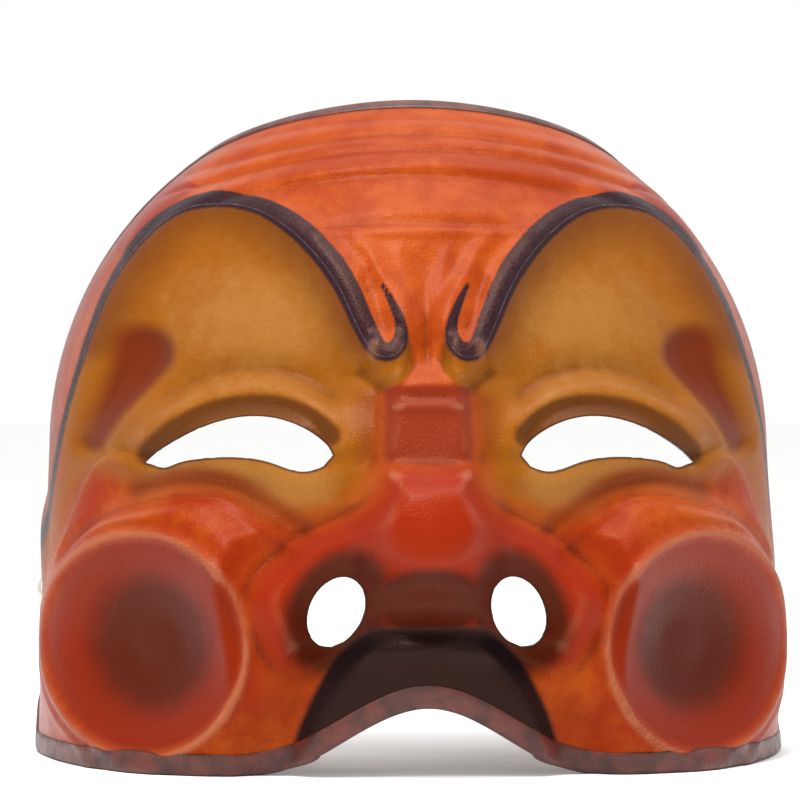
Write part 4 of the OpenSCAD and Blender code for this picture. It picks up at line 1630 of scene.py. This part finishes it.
@dataclass
class Strap:
    """The head strap: two leather tabs that turn on the rivets, and the elastic band sewn to them."""

    surface: FaceSurface
    leather: float = 2.4
    washer: float = 3.0
    gap: float = 0.3
    tab_thickness: float = 2.0
    tab_length: float = 26.0
    tab_width: float = 16.0
    band_width: float = 12.0
    band_thickness: float = 1.4
    reach: float = 146.0
    droop: float = 35.0
    rest: float = 13.0
    sewn_start: float = 13.0
    hole_radius: float = 1.58
    tab_corner: float = 2.5
    tab_soft: float = 0.45
    ribs: int = 10
    crimp_pitch: float = 1.7

    def place(self, p: np.ndarray, side: int = 1) -> np.ndarray:
        """Puts points of the strap's own frame into the part's frame.

        Args:
            p: the points, with X along the axis and Y backwards.
            side: 1, or -1 for the mirrored side.

        Returns:
            The points in the part's frame.
        """
        form, rivets = self.surface.form, self.surface.rivets
        a = rivets.axis(form)
        tilt = math.radians(self.rest)
        back = np.array([0.0, 1.0, 0.0])
        lift = np.cross(a, back)
        y = math.cos(tilt) * back + math.sin(tilt) * lift
        z = -math.sin(tilt) * back + math.cos(tilt) * lift
        middle = (rivets.right(form) + rivets.left(form)) / 2
        p = p * (side, 1, 1)
        placed = middle + p[..., :1] * a + p[..., 1:2] * y + p[..., 2:3] * z
        placed[..., 1] += self.surface.shift_y
        return placed

    @staticmethod
    def side_name(side: int) -> str:
        """The name of a side: right for 1 and left for -1."""
        return "right" if side > 0 else "left"

    @property
    def half_spread(self) -> float:
        """Half of the distance between the rivets."""
        form, rivets = self.surface.form, self.surface.rivets
        return float(np.linalg.norm(rivets.right(form) - rivets.left(form))) / 2

    @property
    def tab_outer(self) -> float:
        """Distance of a tab's outer side from the middle."""
        return self.half_spread - self.leather - self.washer - self.gap

    def tab(self, side: int) -> bpy.types.Object:
        """Builds a tab: a half circle round the rivet and a square end with worn corners.

        Args:
            side: 1 for the right one, -1 for the left one.

        Returns:
            The object.
        """
        angles = np.linspace(0, 2 * np.pi, 145)[:-1]
        half, end = self.tab_width / 2, self.tab_length
        c, s = np.cos(angles), np.sin(angles)
        box = np.minimum(half / np.maximum(np.abs(s), 1e-6), end / np.maximum(c, 1e-6))
        radius = np.where(c < 0, half, box)
        y, z = radius * c, radius * s
        near = (y > end - self.tab_corner) & (np.abs(z) > half - self.tab_corner)
        cy, cz = end - self.tab_corner, (half - self.tab_corner) * np.sign(z)
        away = np.hypot(y - cy, z - cz)
        scale = np.where(near, self.tab_corner / np.maximum(away, self.tab_corner), 1.0)
        y = np.where(near, cy + (y - cy) * scale, y)
        z = np.where(near, cz + (z - cz) * scale, z)
        radius = np.hypot(y, z)
        soft, t = self.tab_soft, self.tab_thickness
        hole = [(0.0, 0.0), (1.0, 0.0)]
        flat = [(3.0, 0.0), (1.6, 0.0), (1.2, 0.12), (0.9, 0.0), (soft, 0.0), (soft * 0.3, soft * 0.3),
                (0.0, soft)]
        back = [(0.0, t - soft), (soft * 0.3, t - soft * 0.3), (soft, t), (3.0, t)]
        rings = [(np.full_like(radius, self.hole_radius + wider), depth) for wider, depth in hole]
        rings += [(radius - inset, depth) for inset, depth in flat + back]
        rings += [(np.full_like(radius, self.hole_radius + wider), t) for wider, _ in hole[::-1]]
        turn = np.arctan2(z, y)
        out = [np.stack([np.full_like(r, self.tab_outer - depth), r * np.cos(turn), r * np.sin(turn)], -1)
               for r, depth in rings]
        grid = np.array(out)
        quads = grid_quads(len(rings), len(angles), wrap_rows=True, wrap_columns=True)
        points = self.place(grid.reshape(-1, 3), side)
        return add_mesh(f"{self.side_name(side)}_tab", points, [quads if side > 0 else quads[:, ::-1]])

    def route(self, steps: int) -> np.ndarray:
        """The band's middle line: straight on the tabs, then half an ellipse whose middle droops as sin^4.

        Args:
            steps: how many points the ellipse has.

        Returns:
            The line's points in the strap's own frame.
        """
        side = self.tab_outer - self.tab_thickness - self.band_thickness / 2
        start = self.tab_length + 2
        t = np.linspace(0, np.pi, steps)
        back = start + (self.reach - start) * np.sin(t)
        bend = np.stack([side * np.cos(t), back, -self.droop * np.sin(t) ** 4], -1)
        y = np.linspace(self.sewn_start, start, 16)[:-1]
        lead = np.stack([np.full_like(y, side), y, np.zeros_like(y)], -1)
        return np.vstack([lead, bend, (lead * (-1, 1, 1))[::-1]])

    def band(self) -> tuple[bpy.types.Object, np.ndarray, float]:
        """Builds the elastic: rounded ribs side by side, each of which narrows where the weft crosses.

        Returns:
            The object, its middle line in the part's frame, and its length in mm.
        """
        line = self.route(420)
        along = unit(np.gradient(line, axis=0))
        up = np.array([0, 0, 1.0]) - along[:, 2:3] * along
        up = unit(up)
        out = np.cross(up, along)
        per_rib = 6
        w = np.linspace(-1, 1, self.ribs * per_rib + 1)
        rib = np.abs(np.cos(np.pi * self.ribs * (w + 1) / 2))
        bulge = 0.5 * self.band_thickness * (0.62 + 0.38 * np.sqrt(1 - 0.86 * rib**2))
        bulge *= np.clip((1 - np.abs(w) ** 24), 0.35, 1)
        thick = np.concatenate([bulge, -bulge[::-1]])[None, :, None]
        wide = np.concatenate([w, w[::-1]])[None, :, None] * self.band_width / 2
        length = np.concatenate([[0], np.cumsum(np.linalg.norm(np.diff(line, axis=0), axis=1))])
        crimp = 1 + 0.05 * np.sin(2 * np.pi * length / self.crimp_pitch)[:, None, None]
        rings = line[:, None] + thick * out[:, None] * crimp + wide * up[:, None]
        obj = swept("elastic", self.place(rings), closed=False)
        path = self.place(line)
        return obj, path, float(length[-1])

    def stitches(self, side: int) -> bpy.types.Object:
        """Builds the thread that sews the band down: short arched stitches round a rectangle.

        Args:
            side: 1 for the right tab, -1 for the left one.

        Returns:
            The object.
        """
        border, pitch, length, radius = 1.6, 3.3, 2.4, 0.28
        sewn = self.tab_length - self.sewn_start - 2 * border
        half = self.band_width / 2 - border
        rows = [((self.sewn_start + border, s * half), (1, 0), sewn) for s in (-1, 1)]
        rows += [((self.sewn_start + border + a, -half), (0, 1), 2 * half) for a in (0.0, sewn)]
        x0 = self.tab_outer - self.tab_thickness - self.band_thickness + 0.12
        rings_all = []
        for start, direction, span in rows:
            count = max(2, round((span + 0.9) / pitch))
            for k in range(count):
                at = (k + 0.5) * span / count
                t = np.linspace(-1, 1, 9)
                reach = at + t * length / 2 * 0.95
                y = start[0] + direction[0] * reach
                z = start[1] + direction[1] * reach
                x = x0 - 0.34 * np.sqrt(np.clip(1 - t**2, 0, 1))
                mid = np.stack([x, y, z], -1)
                r = radius * np.clip(1 - 0.5 * t**8, 0.3, 1)[:, None, None]
                around = np.linspace(0, 2 * np.pi, 9)[:-1]
                a = np.array([1.0, 0, 0])[None, None] * np.cos(around)[None, :, None]
                over = np.array([0, direction[1], direction[0]], float)
                b = over[None, None] * np.sin(around)[None, :, None]
                rings_all.append(mid[:, None, :] + r * (a + b))
        faces, points, offset = [], [], 0
        for rings in rings_all:
            n, m = rings.shape[:2]
            faces.append(grid_quads(n, m, wrap_columns=True) + offset)
            faces += [[offset + i for i in range(m)][::-1], [offset + (n - 1) * m + i for i in range(m)]]
            points.append(rings.reshape(-1, 3))
            offset += n * m
        return add_mesh(f"{self.side_name(side)}_thread", self.place(np.vstack(points), side), faces)


# ---------------------------------------------------------------- the set


@dataclass(frozen=True)
class Studio:
    """A pale seamless floor, soft lights and the camera."""

    aim: tuple[float, float, float] = (-0.0065, -0.045, 0.091)
    distance: float = 0.9
    azimuth: float = 3.0
    elevation: float = 0.0
    width_at_aim: float = 800 / 4150

    def build(self) -> None:
        """Adds the floor, the lights, the world and the camera."""
        self.floor()
        world = bpy.data.worlds.new("studio")
        bpy.context.scene.world = world
        world.use_nodes = True
        background = world.node_tree.nodes["Background"]
        background.inputs["Color"].default_value = (1.0, 1.0, 1.0, 1.0)
        background.inputs["Strength"].default_value = 1.0
        self.light("key", (-0.25, -0.55, 1.1), self.aim, 0.5, 15.0)
        self.light("top", (0.15, -0.1, 1.2), self.aim, 0.7, 7.0)
        self.camera()
        bpy.context.scene.view_settings.view_transform = "Standard"

    def floor(self) -> None:
        """A wide level disc. Its rings of points lie closer together towards the mask."""
        radius = 14 * np.linspace(0.0, 1.0, 24)[1:] ** 2
        angle = np.linspace(0, 2 * np.pi, 65)[:-1]
        x = radius[:, None] * np.cos(angle)
        y = radius[:, None] * np.sin(angle)
        points = np.vstack([np.stack([x, y, np.zeros_like(x)], -1).reshape(-1, 3), [(0, 0, 0)]])
        centre = len(points) - 1
        fan = [[centre, i, (i + 1) % len(angle)] for i in range(len(angle))]
        quads = grid_quads(len(radius), len(angle), wrap_columns=True)[:, ::-1]
        obj = add_mesh("floor", points / MM, [quads, *fan])
        g = Graph("paper")
        fibre = g.noise(40, 4, 0.6)
        white = g.mix(g.step(fibre, 0.3, 0.7), paint("FAFAF9"), paint("FDFDFC"))
        obj.data.materials.append(g.finish(white, 0.85, g.bump(g.noise(3, 3, 0.6), 0.02)))

    def light(self, name: str, at: Place, to: Place, size: float, power: float) -> None:
        """A square soft light.

        Args:
            name: its name.
            at, to: where it stands and what it points at, in metres.
            size: its side, in metres.
            power: its power, in watts.
        """
        data = bpy.data.lights.new(name, "AREA")
        data.size = size
        data.energy = power
        obj = bpy.data.objects.new(name, data)
        obj.location = at
        obj.rotation_euler = (Vector(to) - Vector(at)).to_track_quat("-Z", "Y").to_euler()
        bpy.context.scene.collection.objects.link(obj)

    def camera(self) -> None:
        """A long lens in front of the face, a little to its right side and level with the brow's root."""
        data = bpy.data.cameras.new("camera")
        data.sensor_width = 36.0
        data.lens = 36.0 * self.distance / self.width_at_aim
        data.clip_end = 20.0
        obj = bpy.data.objects.new("camera", data)
        a, e = math.radians(self.azimuth), math.radians(self.elevation)
        offset = Vector((-math.sin(a) * math.cos(e), -math.cos(a) * math.cos(e), math.sin(e))) * self.distance
        obj.location = Vector(self.aim) + offset
        obj.rotation_euler = (-offset).to_track_quat("-Z", "Y").to_euler()
        bpy.context.scene.collection.objects.link(obj)
        bpy.context.scene.camera = obj


# ---------------------------------------------------------------- putting it together


def finish_piece(obj: bpy.types.Object, body: Body, node: str,
                 material: bpy.types.Material) -> None:
    """Gives a piece its material and says what it is.

    Args:
        obj: the piece.
        body: the rigid body that it rides on.
        node: the CAD node that it stands for.
        material: its material.
    """
    obj.data.materials.append(material)
    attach(obj, body.value)
    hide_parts(node)
    log.info("%s: %d faces, stands for %s", obj.name, len(obj.data.polygons), node)


def paint_node(node: str, material: bpy.types.Material) -> None:
    """Gives a CAD node that stays in view a material.

    Args:
        node: its name.
        material: its material.
    """
    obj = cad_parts[node]
    obj.data.materials.clear()
    obj.data.materials.append(material)
    log.info("%s keeps its own solid", node)


def main() -> None:
    """Builds the set, then each piece."""
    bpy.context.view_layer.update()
    Studio().build()
    surface = FaceSurface()
    low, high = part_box("right_rivet_cap")
    surface.shift_y = (low[1] + high[1]) / 2 / MM + surface.rivets.setback
    face = LeatherFace(surface, Openings(surface.relief))
    strap = Strap(surface)

    black_elastic = Cloth("elastic", paint("141416"), paint("2B2B2E"), 0.35).build()
    band, path, length = strap.band()
    finish_piece(band, Body.STRAP, "elastic_band", black_elastic)

    finish_piece(face.build(), Body.MASK, "face_shell", DyedLeather().build())
    edge_leather = PlainLeather("edge leather", paint("5A2318"), paint("34140F"), 0.4).build()
    steel = WornMetal("steel", paint("B5B5B8"), paint("7F7F84")).build()
    edge = TurnedEdge(face)
    finish_piece(edge.hem(), Body.MASK, "rim_hem", edge_leather)
    finish_piece(edge.wire(), Body.MASK, "rim_wire", steel)
    pad = BrowPad(face).build()
    pad_cloth = Cloth("pad cloth", paint("26262A"), paint("3D3D42"), 0.5).build()
    finish_piece(pad, Body.MASK, "brow_pad", pad_cloth)

    tab_leather = PlainLeather("tab leather", paint("1D1715"), paint("0E0B0A"), 0.42).build()
    thread = Cloth("thread", paint("4B4640"), paint("6A645B"), 0.2).build()
    for side, name in ((1, "right"), (-1, "left")):
        finish_piece(strap.tab(side), Body.STRAP, f"{name}_strap_tab", tab_leather)
        finish_piece(strap.stitches(side), Body.STRAP, f"{name}_stitches", thread)

    nickel = WornMetal("nickel", paint("D9D4C6"), paint("A49C8B")).build()
    fibre = Cloth("fibre", paint("1B1B1C"), paint("303032"), 0.3).build()
    for name in ("right", "left"):
        paint_node(f"{name}_rivet_cap", nickel)
        paint_node(f"{name}_rivet_post", nickel)
        paint_node(f"{name}_washer", fibre)


if __name__ == "__main__":
    main()
